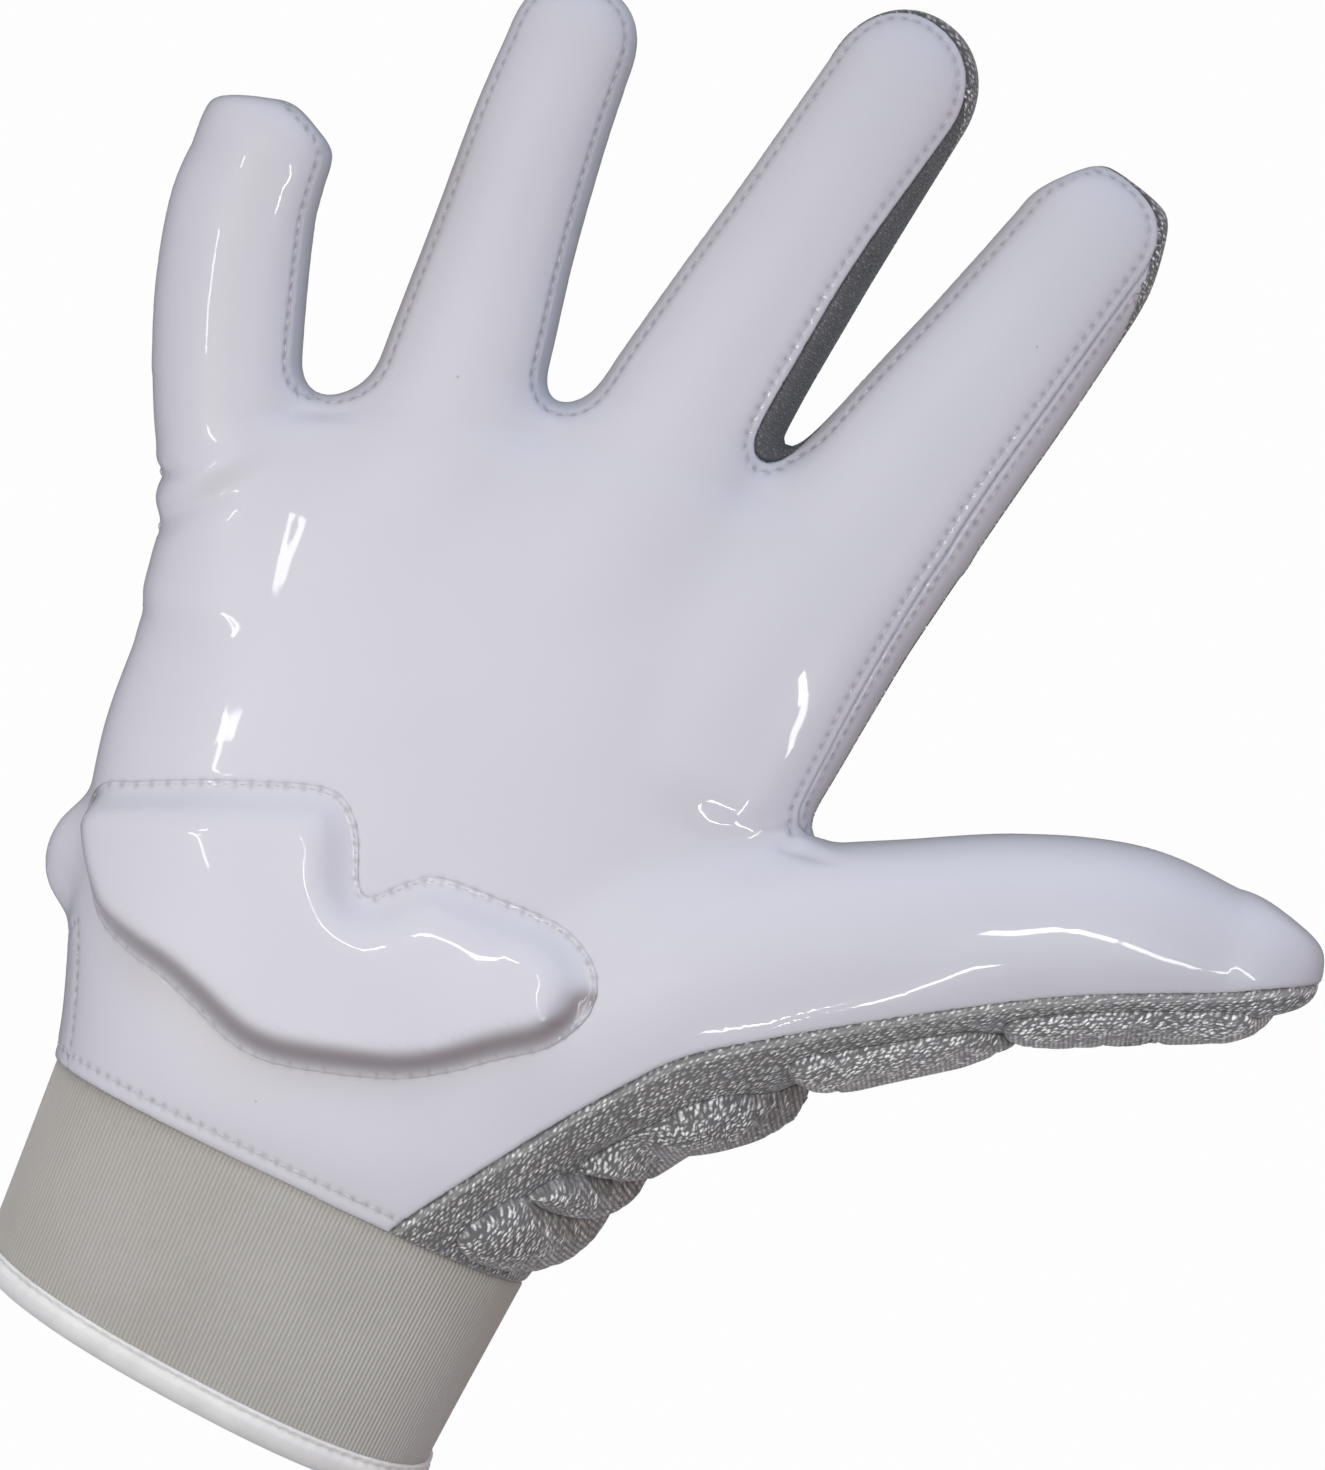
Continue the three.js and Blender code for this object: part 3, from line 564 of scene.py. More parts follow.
def beside(name, points):
    """Distance to the right of a digit's line, seen from the front."""
    digit = HAND[name]
    line = digit.centre[:, [0, 2]]
    skip, ahead = Digit.STEPS // 2, 8
    start, end = line[0] - line[skip], line[-1] - line[-skip - 1]
    line = np.vstack([line[0] + ahead * start, line[::skip], line[-1] + ahead * end])
    return -line_place(points[:, 0], points[:, 2], line)[0]


def strip_field(name, points, edge):
    """Positive on one side strip. edge is the leather field there."""
    left, right, foot = STRIPS[name]
    from_left = beside(left, points)
    from_right = -beside(right, points) if right else STRIP["round"] - from_left
    taper = soft_step(points[:, 2], foot, foot + STRIP["foot"])
    for finger in filter(None, (left, right)):
        digit = HAND[finger]
        here = digit.local(points)
        close = np.exp(-np.clip(digit.distance(here), 0, FAR))
        end = digit.arc[-1]
        along = here["arc"] + here["over"]
        narrow = fade(along, end - STRIP["tip"], end + digit.tip * STRIP["cover"])
        taper = taper * (1 - close * (1 - narrow))
    return np.minimum(STRIP["deep"] * taper + edge, np.minimum(from_left, from_right))


# Meshes: points and triangles

def sums(index, vectors, number):
    """The sum of the vectors that go to each of a number of places."""
    return np.stack([np.bincount(index, column, number) for column in vectors.T], 1)


def mesh_of_field():
    """Even triangles over the hand's skin."""
    low, high = np.array(GRID)
    counts = np.ceil((high - low) / CELL).astype(int)
    counts = BLOCK * np.ceil(counts / BLOCK).astype(int)

    def grid_of(cell, number):
        axes = [low[i] + cell * (np.arange(number[i]) + 0.5) for i in range(3)]
        return np.stack(np.meshgrid(*axes, indexing="ij"), -1)

    coarse = hand_field(grid_of(CELL * BLOCK, counts // BLOCK).reshape(-1, 3)).reshape(counts // BLOCK)
    values = coarse.repeat(BLOCK, 0).repeat(BLOCK, 1).repeat(BLOCK, 2)
    near = np.abs(values) < NEAR_SKIN * CELL * BLOCK
    values[near] = hand_field(grid_of(CELL, counts)[near])
    values = np.clip(values, -BAND, BAND).astype(np.float32)
    volume = openvdb.FloatGrid(BAND)
    volume.copyFromArray(values)
    points, quads = volume.convertToQuads(isovalue=0.0)
    points = (points.astype(float) + 0.5) * CELL + low
    quads = quads.astype(int)
    faces = np.vstack([quads[:, [0, 1, 2]], quads[:, [0, 2, 3]]])
    points = settle(points, 1)
    ends = sides_of(faces)
    count = np.bincount(ends.ravel(), minlength=len(points))[:, None]
    for _ in range(EVENING["rounds"]):
        total = sum(sums(ends[:, i], points[ends[:, 1 - i]], len(points)) for i in range(2))
        points = (1 - EVENING["share"]) * points + EVENING["share"] * total / count
    points = settle(points)
    a, b, c = points[faces[0]]
    outward = gradient(hand_field, points[faces[0]][:1])[0]
    if np.cross(b - a, c - a) @ outward < 0:
        faces = faces[:, ::-1]
    return points, faces


def sides_of(faces):
    return np.vstack([faces[:, [0, 1]], faces[:, [1, 2]], faces[:, [2, 0]]])


def edges_of(faces):
    """Every edge once, the edge that each side of the triangles is, and how many share each."""
    ends = np.sort(sides_of(faces).astype(np.int64), axis=1)
    keys, which, count = np.unique(ends[:, 0] << 32 | ends[:, 1], return_inverse=True, return_counts=True)
    return np.stack([keys >> 32, keys & 0xFFFFFFFF], 1), which.ravel(), count


# New triangles of one with its first side, its first two or all of its sides halved, as numbers of
# its three corners and of the middles of its three sides
HALVED = {
    1: ((0, 3, 2), (3, 1, 2)),
    2: ((3, 1, 4), (0, 3, 4), (0, 4, 2)),
    3: ((0, 3, 5), (1, 4, 3), (2, 5, 4), (3, 4, 5)),
}


def refine(points, faces, wanted):
    """Halves the edges whose two ends are both wanted, and joins the triangles up again."""
    edges, which, _ = edges_of(faces)
    split = wanted[edges].all(1)
    middle = np.full(len(edges), -1)
    middle[split] = len(points) + np.arange(split.sum())
    ends = edges[split]
    points = np.vstack([points, settle((points[ends[:, 0]] + points[ends[:, 1]]) / 2, 1)])
    mids = middle[which.reshape(3, -1).T]
    count = (mids >= 0).sum(1)
    whole = np.hstack([faces, mids])
    out = [faces[count == 0]]
    out += [whole[count == 3][:, new] for new in HALVED[3]]
    for turn in range(3):
        order = [(i + turn) % 3 for i in range(3)]
        turned = whole[:, order + [i + 3 for i in order]]
        for number, chosen in ((1, turned[:, 3] >= 0), (2, turned[:, 5] < 0)):
            out += [turned[(count == number) & chosen][:, new] for new in HALVED[number]]
    return points, np.vstack(out)


def clip(points, faces, field, snap=0.22):
    """The part of a mesh where the field is positive, cut cleanly along its zero line."""
    points, field = points.copy(), field.copy()
    edges = edges_of(faces)[0]
    a, b = edges[(field[edges[:, 0]] * field[edges[:, 1]]) < 0].T
    t = field[a] / (field[a] - field[b])
    crossing = points[a] + (points[b] - points[a]) * t[:, None]
    for near, mine in ((t < snap, a), (t > 1 - snap, b)):
        points[mine[near]] = crossing[near]
        field[mine[near]] = 0
    signs = np.sign(field)[faces]
    keep = faces[(signs >= 0).all(1) & (signs > 0).any(1)]
    mixed = faces[(signs > 0).any(1) & (signs < 0).any(1)]
    made, added, new_faces = {}, [], []
    for triangle in mixed:
        polygon = []
        for i in range(3):
            p, q = triangle[i], triangle[(i + 1) % 3]
            if field[p] >= 0:
                polygon.append(p)
            if field[p] * field[q] < 0:
                key = (min(p, q), max(p, q))
                if key not in made:
                    made[key] = len(points) + len(added)
                    share = field[p] / (field[p] - field[q])
                    added.append(points[p] + (points[q] - points[p]) * share)
                polygon.append(made[key])
        for k in range(1, len(polygon) - 1):
            new_faces.append((polygon[0], polygon[k], polygon[k + 1]))
    if added:
        points = np.vstack([points, added])
    if new_faces:
        keep = np.vstack([keep, new_faces])
    return compact(points, keep)


def compact(points, faces):
    used, back = np.unique(faces, return_inverse=True)
    return points[used], back.reshape(-1, 3)


def largest_part(points, faces):
    """The biggest connected part of a mesh."""
    label = np.arange(len(points))
    while True:
        lowest = label[faces].min(1)
        new = label.copy()
        for corner in range(3):
            np.minimum.at(new, faces[:, corner], lowest)
        new = new[new]
        if (new == label).all():
            break
        label = new
    face_label = label[faces[:, 0]]
    names, counts = np.unique(face_label, return_counts=True)
    return compact(points, faces[face_label == names[counts.argmax()]])


def border_edges(faces):
    """Edges of one triangle only, in that triangle's direction."""
    _, which, count = edges_of(faces)
    return sides_of(faces)[count[which] == 1]


def close_up(outer, inner, faces):
    """A solid between two skins that share their triangles."""
    n = len(outer)
    border = border_edges(faces)
    a, b = border.T
    rim = np.vstack([np.stack([b, a, a + n], 1), np.stack([b, a + n, b + n], 1)])
    return np.vstack([outer, inner]), np.vstack([faces, faces[:, ::-1] + n, rim])


def put(name, data):
    """A new object in the scene."""
    made = bpy.data.objects.new(name, data)
    bpy.context.scene.collection.objects.link(made)
    return made


def add_object(name, points, faces, material, replaces=(), slot=None, marks=None):
    """A piece of the glove. marks are its own numbers for the material, by point."""
    mesh = bpy.data.meshes.new(name)
    faces = faces.tolist() if isinstance(faces, np.ndarray) else faces
    mesh.from_pydata((points * MM).tolist(), [], faces)
    for mark, values in (marks or {}).items():
        kind, field = ("FLOAT", "value") if values.ndim == 1 else ("FLOAT_VECTOR", "vector")
        made = mesh.attributes.new(mark, kind, "POINT")
        made.data.foreach_set(field, values.astype(np.float32).ravel())
    mesh.validate()
    mesh.polygons.foreach_set("use_smooth", np.ones(len(mesh.polygons), bool))
    mesh.materials.append(material)
    piece = put(name, mesh)
    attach(piece, "root")
    if replaces:
        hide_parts(*replaces)
    return piece


def contour(points, faces, values, level):
    """Chains of points where a mesh's values pass a level."""
    above = values > level
    mixed = faces[above[faces].any(1) & ~above[faces].all(1)]
    places, links = {}, {}
    for triangle in mixed.tolist():
        ends = []
        for i in range(3):
            p, q = triangle[i], triangle[(i + 1) % 3]
            if above[p] != above[q]:
                key = (min(p, q), max(p, q))
                if key not in places:
                    share = (level - values[key[0]]) / (values[key[1]] - values[key[0]])
                    places[key] = points[key[0]] + (points[key[1]] - points[key[0]]) * share
                ends.append(key)
        links.setdefault(ends[0], []).append(ends[1])
        links.setdefault(ends[1], []).append(ends[0])
    chains = []
    starts = sorted(links, key=lambda key: (len(links[key]), key))
    used = set()
    for start in starts:
        if start in used:
            continue
        chain, here = [], start
        while here is not None:
            used.add(here)
            chain.append(here)
            here = next((n for n in links[here] if n not in used), None)
        if len(chain) > 2 and len(links[start]) == 2:
            chain.append(start)
        chains.append(np.array([places[key] for key in chain]))
    return chains


def stepped(chain, step):
    """Points along a chain, about a step apart."""
    chain = np.vstack([chain[:1], (chain[:-2] + chain[1:-1] + chain[2:]) / 3, chain[-1:]])
    arc = arc_of(chain)
    count = max(2, round(arc[-1] / step) + 1)
    where = np.linspace(0, arc[-1], count)
    return np.stack([np.interp(where, arc, chain[:, axis]) for axis in range(3)], 1)


def nearest(points, targets, chunk=4000):
    """Distance from each point to the nearest target."""
    found = np.full(len(points), FAR)
    if len(targets) == 0:
        return found
    for start in range(0, len(points), chunk):
        part = points[start:start + chunk]
        squared = ((part**2).sum(1)[:, None] - 2 * part @ targets.T + (targets**2).sum(1))
        found[start:start + chunk] = np.sqrt(np.maximum(squared.min(1), 0))
    return found


def sewn_rows(chains, style, wanted=None):
    """Holes of each row of stitches, where wanted says that a row is sewn."""
    rows = []
    for chain in chains:
        if arc_of(chain)[-1] < SHORTEST_ROW:
            continue
        holes = stepped(chain, style["long"] + style["gap"])
        keep = np.ones(len(holes), bool) if wanted is None else wanted(holes)
        for part in np.split(np.arange(len(holes)), np.flatnonzero(~keep)):
            run = holes[part[keep[part]]]
            if len(run) > 2:
                rows.append(run)
    return rows


def stitch_relief(points, rows, style):
    """How far the thread draws the material in, and the painted shade in its holes."""
    line = np.vstack([stepped(row, STITCH_SPREAD["step"]) for row in rows])
    beside_hole = nearest(points, np.vstack(rows))
    groove = style["groove"] * bell(nearest(points, line), STITCH_SPREAD["groove"])
    hole = style["hole"] * bell(beside_hole, STITCH_SPREAD["hole"])
    return groove + hole, bell(beside_hole, STITCH_SPREAD["dark"])


def tube_faces(rows, count, closed=True):
    """Quads between rings. In a closed tube the last ring is joined to the first."""
    faces = []
    for i in range(rows if closed else rows - 1):
        low, high = i * count, ((i + 1) % rows) * count
        for k in range(count):
            n = (k + 1) % count
            faces.append((low + k, low + n, high + n, high + k))
    return faces


def thread_mesh(starts, ends, normals, style):
    """Short round threads, each bowed up a little between two holes."""
    along = unit(ends - starts)
    across = unit(np.cross(along, normals))
    up = np.cross(across, along)
    trim = style["gap"] / 2
    starts, ends = starts + along * trim, ends - along * trim
    radius, sides = style["thread"], THREAD["sides"]
    rings = []
    for share, wide in THREAD_RINGS:
        bow = radius * (THREAD["bow"] * math.sin(math.pi * share) - THREAD["sunk"])
        centre = starts + (ends - starts) * share + up * bow
        for k in range(sides):
            angle = 2 * math.pi * k / sides
            spoke = across * math.cos(angle) + up * THREAD["flat"] * math.sin(angle)
            rings.append(centre + spoke * radius * wide)
    per = len(rings)
    points = np.stack(rings, 1).reshape(-1, 3)
    faces = tube_faces(len(THREAD_RINGS), sides, closed=False)
    faces += [tuple(range(sides))[::-1], tuple(range(per - sides, per))]
    return points, [tuple(n * per + v for v in face) for n in range(len(starts)) for face in faces]


def add_stitches(name, rows, style, material, lift):
    starts = np.vstack([row[:-1] for row in rows])
    ends = np.vstack([row[1:] for row in rows])
    normals = skin_normals((starts + ends) / 2)
    mesh = thread_mesh(starts + normals * lift, ends + normals * lift, normals, style)
    add_object(name, *mesh, material)


def crease_relief(points):
    """How far the creases press the palm's leather in."""
    x, z = points[:, 0], points[:, 2]
    total = np.zeros(len(points))
    front = fade(points[:, 1], *CREASE_BACK)
    for x0, z0, x1, z1, deep, wide, ridge in CREASES:
        run = np.array([x1 - x0, z1 - z0])
        long = np.linalg.norm(run)
        ahead = ((x - x0) * run[0] + (z - z0) * run[1]) / long
        off = ((z - z0) * abs(run[0]) - (x - x0) * run[1] * np.sign(run[0])) / long
        shown = soft_step(ahead, -1, long * 0.3) * fade(ahead, long * 0.5, long + 1.5)
        swell = ridge * bell(off - RIDGE["away"] * wide, RIDGE["wide"] * wide)
        total += (deep * bell(off, wide) - swell) * shown * front
    return total


# Materials

class Shader:
    """A short way to write a node material."""

    def __init__(self, name):
        self.material = bpy.data.materials.new(name)
        self.material.use_nodes = True
        self.tree = self.material.node_tree
        self.surface = self.tree.nodes["Principled BSDF"]

    def set(self, **values):
        for key, value in values.items():
            self.surface.inputs[key.replace("_", " ")].default_value = value

    def node(self, kind, inputs=None, **settings):
        made = self.tree.nodes.new(kind)
        for key, value in settings.items():
            setattr(made, key, value)
        for key, value in (inputs or {}).items():
            if isinstance(value, bpy.types.NodeSocket):
                self.tree.links.new(value, made.inputs[key])
            else:
                made.inputs[key].default_value = value
        return made

    def place(self, scale=(1, 1, 1)):
        """Object coordinates in millimetres, stretched by scale."""
        where = self.node("ShaderNodeTexCoord")
        return self.node("ShaderNodeMapping", {"Vector": where.outputs["Object"],
                                               "Scale": [1000 * s for s in scale]}).outputs["Vector"]

    def noise(self, vector, scale, detail=2.0):
        inputs = {"Vector": vector, "Scale": scale, "Detail": detail}
        return self.node("ShaderNodeTexNoise", inputs).outputs["Fac"]

    def ramp(self, value, *stops):
        """A colour by value, from stops of a position and a colour."""
        made = self.node("ShaderNodeValToRGB", {"Fac": value})
        elements = made.color_ramp.elements
        while len(elements) < len(stops):
            elements.new(0.5)
        for element, (position, color) in zip(elements, stops):
            element.position = position
            element.color = (*color, 1)
        return made.outputs["Color"]

    def math(self, operation, a, b=0.0):
        return self.node("ShaderNodeMath", {0: a, 1: b}, operation=operation).outputs[0]

    def times(self, a, b):
        return self.math("MULTIPLY", a, b)

    def split(self, vector):
        return self.node("ShaderNodeSeparateXYZ", {"Vector": vector}).outputs

    def mark(self, name, output):
        """The mesh's own numbers of that name."""
        read = self.node("ShaderNodeAttribute", attribute_name=name, attribute_type="GEOMETRY")
        return read.outputs[output]

    def pick(self, share, a, b):
        """A number between a and b."""
        return self.node("ShaderNodeMix", {0: share, 2: a, 3: b}, data_type="FLOAT").outputs[0]

    def mix(self, share, a, b):
        """A colour between a and b."""
        a, b = [(*color, 1) if isinstance(color, tuple) else color for color in (a, b)]
        made = self.node("ShaderNodeMix", {"Factor": share, "A": a, "B": b}, data_type="RGBA")
        return made.outputs["Result"]

    def bump(self, height, distance, after=None):
        inputs = {"Height": height, "Distance": distance * MM}
        if after is not None:
            inputs["Normal"] = after
        return self.node("ShaderNodeBump", inputs).outputs["Normal"]

    def link(self, socket, name):
        self.tree.links.new(socket, self.surface.inputs[name])


def grey(value):
    return (value, value, value)


def leather_material():
    s = Shader("palm_leather")
    s.set(Roughness=0.32, Coat_Weight=1.0, Coat_Roughness=0.035, Coat_IOR=1.5)
    dirt, shadow = (0.30, 0.27, 0.30), (0.19, 0.155, 0.165)
    where = s.place()
    color = s.ramp(s.noise(where, 0.03), (0.3, (0.60, 0.595, 0.655)), (0.7, (0.62, 0.615, 0.675)))
    speck = s.node("ShaderNodeTexVoronoi", {"Vector": where, "Scale": 0.09}).outputs["Distance"]
    dust = s.ramp(speck, (0.016, grey(1)), (0.024, grey(0)))
    dusty = s.mix(s.times(dust, 0.55), color, dirt)
    # Painted shade: the mark sewn darkens the leather in the stitch holes and, with grime, at the foot of
    # the heel pad's lower slope
    s.link(s.mix(s.times(s.mark("sewn", "Fac"), 0.55), dusty, shadow), "Base Color")
    soft = s.bump(s.noise(where, 0.05), 0.25)
    s.link(s.bump(s.noise(where, 1.6, 3.0), 0.006, after=soft), "Normal")
    s.link(soft, "Coat Normal")
    return s.material


def knit_material(name, dark, light, size=1.0):
    """Rows of small bright loops on a darker ground, every other row set off by half a loop."""
    s = Shader(name)
    s.set(Roughness=0.5, Metallic=0.2, Sheen_Weight=0.25, Sheen_Roughness=0.4)
    wander, scatter, rib_light, seam_highlight_gain = 0.9, 0.6, 0.4, 0.2
    loop_painted_light, ground_painted_light = (0.7, 1.3), (0.75, 1.3)  # painted light: darker where the knit lies flat, lighter over a pad
    where = s.place()
    x, y, z = s.split(where)
    facing_x, facing_y, _ = s.split(s.node("ShaderNodeTexCoord").outputs["Normal"])
    sideways = s.math("GREATER_THAN", s.math("ABSOLUTE", facing_x), s.math("ABSOLUTE", facing_y))
    weave_across, weave_along, follow_share = s.split(s.mark("weave", "Vector"))
    from_seam, ribbed, puffed_up = s.split(s.mark("seam", "Vector"))
    follows = s.math("GREATER_THAN", follow_share, 0.5)
    across = s.pick(follows, s.pick(sideways, x, y), weave_across)
    along = s.pick(follows, z, weave_along)
    wobble = s.times(s.math("SUBTRACT", s.noise(where, 0.5), 0.5), wander)
    row = s.math("DIVIDE", s.math("ADD", along, wobble), LOOP_ROW * size)
    place = s.math("ADD", s.math("DIVIDE", across, LOOP_PITCH * size), s.times(row, 0.5))
    lattice = s.node("ShaderNodeCombineXYZ", {"X": place, "Y": row}).outputs[0]
    cells = s.node("ShaderNodeTexVoronoi", {"Vector": lattice, "Scale": 1.0, "Randomness": scatter},
                   voronoi_dimensions="2D")
    tone = s.node("ShaderNodeSeparateColor", {"Color": cells.outputs["Color"]}).outputs["Red"]
    loop = s.ramp(cells.outputs["Distance"], (0.12, grey(1)), (0.46, grey(0)))
    rib = s.math("PINGPONG", s.math("DIVIDE", across, PAD_RIB / 2), 1.0)
    loop = s.pick(ribbed, loop, s.times(rib, rib_light))
    # Painted highlight: the knit's loops beside the leather are made brighter
    seam_highlight = s.ramp(s.math("DIVIDE", from_seam, FRINGE), (0.75, grey(1)), (1.0, grey(0)))
    seam_highlight = s.times(seam_highlight, follows)
    bright = s.times(loop, s.math("ADD", s.times(tone, 1.1), 0.2))
    glitter = s.ramp(s.noise(where, 1.6, 1.0), (0.4, grey(0.5)), (0.62, grey(1.35)))
    bright = s.times(bright, glitter)
    bright = s.math("ADD", bright, s.times(seam_highlight, seam_highlight_gain))
    # Painted light: the loops and the ground are lighter over the pads than where the knit lies flat
    bright = s.times(bright, s.pick(puffed_up, *loop_painted_light))
    shade = s.times(s.noise(where, 0.12), s.pick(puffed_up, *ground_painted_light))
    ground = s.mix(shade, tuple(0.7 * c for c in dark), tuple(1.3 * c for c in dark))
    s.link(s.mix(bright, ground, light), "Base Color")
    s.link(s.bump(loop, 0.16 * size, after=s.bump(s.noise(where, 3.0), 0.05)), "Normal")
    return s.material


def rib_material():
    s = Shader("rib_knit")
    s.set(Roughness=0.85, Sheen_Weight=0.25, Sheen_Roughness=0.5)
    between, shadow = (0.34, 0.33, 0.31), (0.18, 0.175, 0.165)
    stain = s.noise(s.place(), 0.035, 3.0)
    color = s.ramp(stain, (0.35, (0.48, 0.465, 0.43)), (0.65, (0.53, 0.515, 0.49)))
    yarn = s.noise(s.place((1, 1, 0.25)), 2.4)
    ribbed = s.mix(s.times(yarn, 0.35), color, between)
    s.link(s.mix(s.times(s.mark("groove", "Fac"), 0.4), ribbed, shadow), "Base Color")
    s.link(s.bump(yarn, 0.05), "Normal")
    return s.material


def tape_material():
    s = Shader("binding_tape")
    s.set(Roughness=0.55, Sheen_Weight=0.2)
    s.link(s.ramp(s.noise(s.place(), 0.2), (0.3, grey(0.70)), (0.7, grey(0.78))), "Base Color")
    s.link(s.bump(s.noise(s.place((1, 1, 3)), 1.8), 0.04), "Normal")
    return s.material


def thread_material():
    s = Shader("thread")
    s.set(Roughness=0.6, Sheen_Weight=0.3)
    where = s.place()
    color = s.ramp(s.noise(where, 0.8), (0.3, (0.48, 0.46, 0.52)), (0.7, (0.62, 0.60, 0.65)))
    s.link(color, "Base Color")
    s.link(s.bump(s.noise(where, 6.0), 0.03), "Normal")
    return s.material


# Pieces

def skin_piece(name, points, faces, edge, material, slot, lift=0.0, relief=0.0, marks=None):
    """A wall under the hand's skin. edge is the distance to its own border, which rolls inwards,
    and relief is how far it is pressed in."""
    normals = skin_normals(points)
    inset = np.clip(EDGE_ROLL - edge, 0, EDGE_ROLL)
    drop = EDGE_ROLL - np.sqrt(EDGE_ROLL**2 - inset**2) + relief
    outer = points + normals * (lift - drop)[:, None]
    inner = points + normals * (lift - np.maximum(WALL, drop + LEAST_WALL))[:, None]
    solid = close_up(outer, inner, faces)
    both = {mark: np.concatenate([values, values]) for mark, values in (marks or {}).items()}
    piece = add_object(name, *solid, material, (name,), slot, both)
    return piece


def evened(values, faces, rounds):
    """Values of a mesh's points, evened out with their neighbours'."""
    ends = np.vstack([sides_of(faces), sides_of(faces)[:, ::-1]])
    count = np.bincount(ends[:, 0], minlength=len(values))
    for _ in range(rounds):
        around = np.bincount(ends[:, 0], values[ends[:, 1]], len(values)) / count
        values = 0.5 * values + 0.5 * around
    return values


def on_palm(flat):
    """Places of the x z plane laid on the palm's skin."""
    x, z = flat.T
    low, high = np.full(len(flat), -40.0), np.zeros(len(flat))
    for _ in range(30):
        y = (low + high) / 2
        outside = hand_field(np.stack([x, y, z], 1)) > 0
        low, high = np.where(outside, y, low), np.where(outside, high, y)
    return settle(np.stack([x, (low + high) / 2, z], 1))


def loop_side(x, z, loop):
    """Positive inside a closed outline in the x z plane."""
    closed = np.vstack([loop, loop[:1]])
    inside = np.zeros(len(x), bool)
    best = np.full(len(x), FAR)
    for a, b in zip(closed[:-1], closed[1:]):
        crosses = (a[1] > z) != (b[1] > z)
        rise = b[1] - a[1] if b[1] != a[1] else 1e-9
        inside ^= crosses & (x < (b[0] - a[0]) * (z - a[1]) / rise + a[0])
        _, dx, dz = beside_segment(x, z, a, b)
        best = np.minimum(best, np.hypot(dx, dz))
    return np.where(inside, best, -best)


HEEL_LOOP = smooth_loop(HEEL_PAD_TOP + HEEL_PAD_FOOT, HEEL_PAD["steps"])


def heel_side(points):
    """Distance inside the heel pad's outline seen from the front, negative outside."""
    return np.where(points[:, 1] < 3, loop_side(points[:, 0], points[:, 2], HEEL_LOOP), -FAR)


def add_heel_pad(points, faces, material, thread):
    """The padded leather on the heel of the palm. Gives its rows of stitches."""
    points, faces = largest_part(*clip(points, faces, heel_side(points)))
    outline = on_palm(HEEL_LOOP)
    split = HEEL_PAD["steps"] * (len(HEEL_PAD_TOP) - 1) + 1
    parts = {"top": outline[:split], "foot": np.vstack([outline[split - 1:], outline[:1]])}
    gaps = {name: nearest(points, stepped(part, STITCH_SPREAD["step"])) for name, part in parts.items()}
    rise = np.ones(len(points))
    for name, (margin, slope) in HEEL_PAD_SLOPES.items():
        rise = np.minimum(rise, soft_step(gaps[name], margin, margin + slope))
    inward = np.minimum(gaps["top"], gaps["foot"])
    high = HEEL_PAD["rim"] + (HEEL_PAD["high"] - HEEL_PAD["rim"]) * evened(rise, faces, 3)
    rows = sewn_rows(contour(points, faces, inward, HEEL_PAD["sewn"]), PAD_STITCH)
    relief, holes = stitch_relief(points, rows, PAD_STITCH)
    # Painted shade, with grime, along the foot of the steep lower slope, added to the holes' painted shade
    away, wide, strength = HEEL_SHADE
    holes = np.maximum(holes, strength * bell(gaps["foot"] - away, wide))
    normals = skin_normals(points)
    pressed = high - np.minimum(relief, high - HEEL_PAD["least"])
    outer = points + normals * (pressed + HEEL_LIFT)[:, None]
    inner = points + normals * HEEL_PAD["under"]
    pad = add_object("heel_pad", *close_up(outer, inner, faces), material, ("heel_pad",), "palm_leather",
                     {"sewn": np.concatenate([holes, holes])})
    add_stitches("heel_pad_stitches", rows, PAD_STITCH, thread, LIFT["heel_thread"])
    return rows


def mesh_normals(points, faces):
    """Directions that the points of a triangle mesh face."""
    a, b, c = points[faces[:, 0]], points[faces[:, 1]], points[faces[:, 2]]
    areas = np.cross(b - a, c - a)
    return unit(sum(sums(corner, areas, len(points)) for corner in faces.T))


def weave_marks(points, normals, proud):
    """The knit's own directions beside the thumb, its distance from the leather, where its ribs
    show and whether it is stretched over a pad."""
    side, along = line_place(points[:, 0], points[:, 2], KNIT_LINE)
    round_seam = np.maximum(-side, 0) + WEAVE_ROUND["share"] * (points[:, 1] + WEAVE_ROUND["y"])
    follows = fade(points[:, 1], *WEAVE["back"])
    follows = follows * fade(-side, *WEAVE["knit"]) * fade(side, *WEAVE["leather"])
    ribbed = follows * proud * fade(-normals[:, 1], *WEAVE["ribs"])
    return {"weave": np.stack([along, round_seam, follows], 1),
            "seam": np.stack([np.maximum(-side, 0), ribbed, np.full(len(points), proud)], 1)}


def pad_inward(points, row):
    """How far inside one thumb pad's border each point of the skin lies, negative outside."""
    pad = dict(zip(PAD_COLUMNS, row))
    run = np.array([pad["head_x"] - pad["foot_x"], pad["head_z"] - pad["foot_z"]])
    long = np.linalg.norm(run)
    ahead = ((points[:, 0] - pad["foot_x"]) * run[0] + (points[:, 2] - pad["foot_z"]) * run[1]) / long
    ahead = ahead - pad["lean"] * (points[:, 1] - PAD_MIDDLE)
    ends = long / 2 - np.abs(ahead - long / 2)
    sides = blend_min(-knit_side(points) - pad["margin"], pad["back"] - points[:, 1], PAD_CORNER)
    return blend_min(sides, ends, PAD_CORNER)


def pad_borders(points):
    """Distance inside each thumb pad's border, where neighbours share the room between them."""
    inward = {name: pad_inward(points, row) for name, row in THUMB_PADS.items()}
    own = {}
    for name, value in inward.items():
        rivals = np.max([other for key, other in inward.items() if key != name], axis=0)
        own[name] = np.minimum(value, (value - rivals) / 2)
    return own


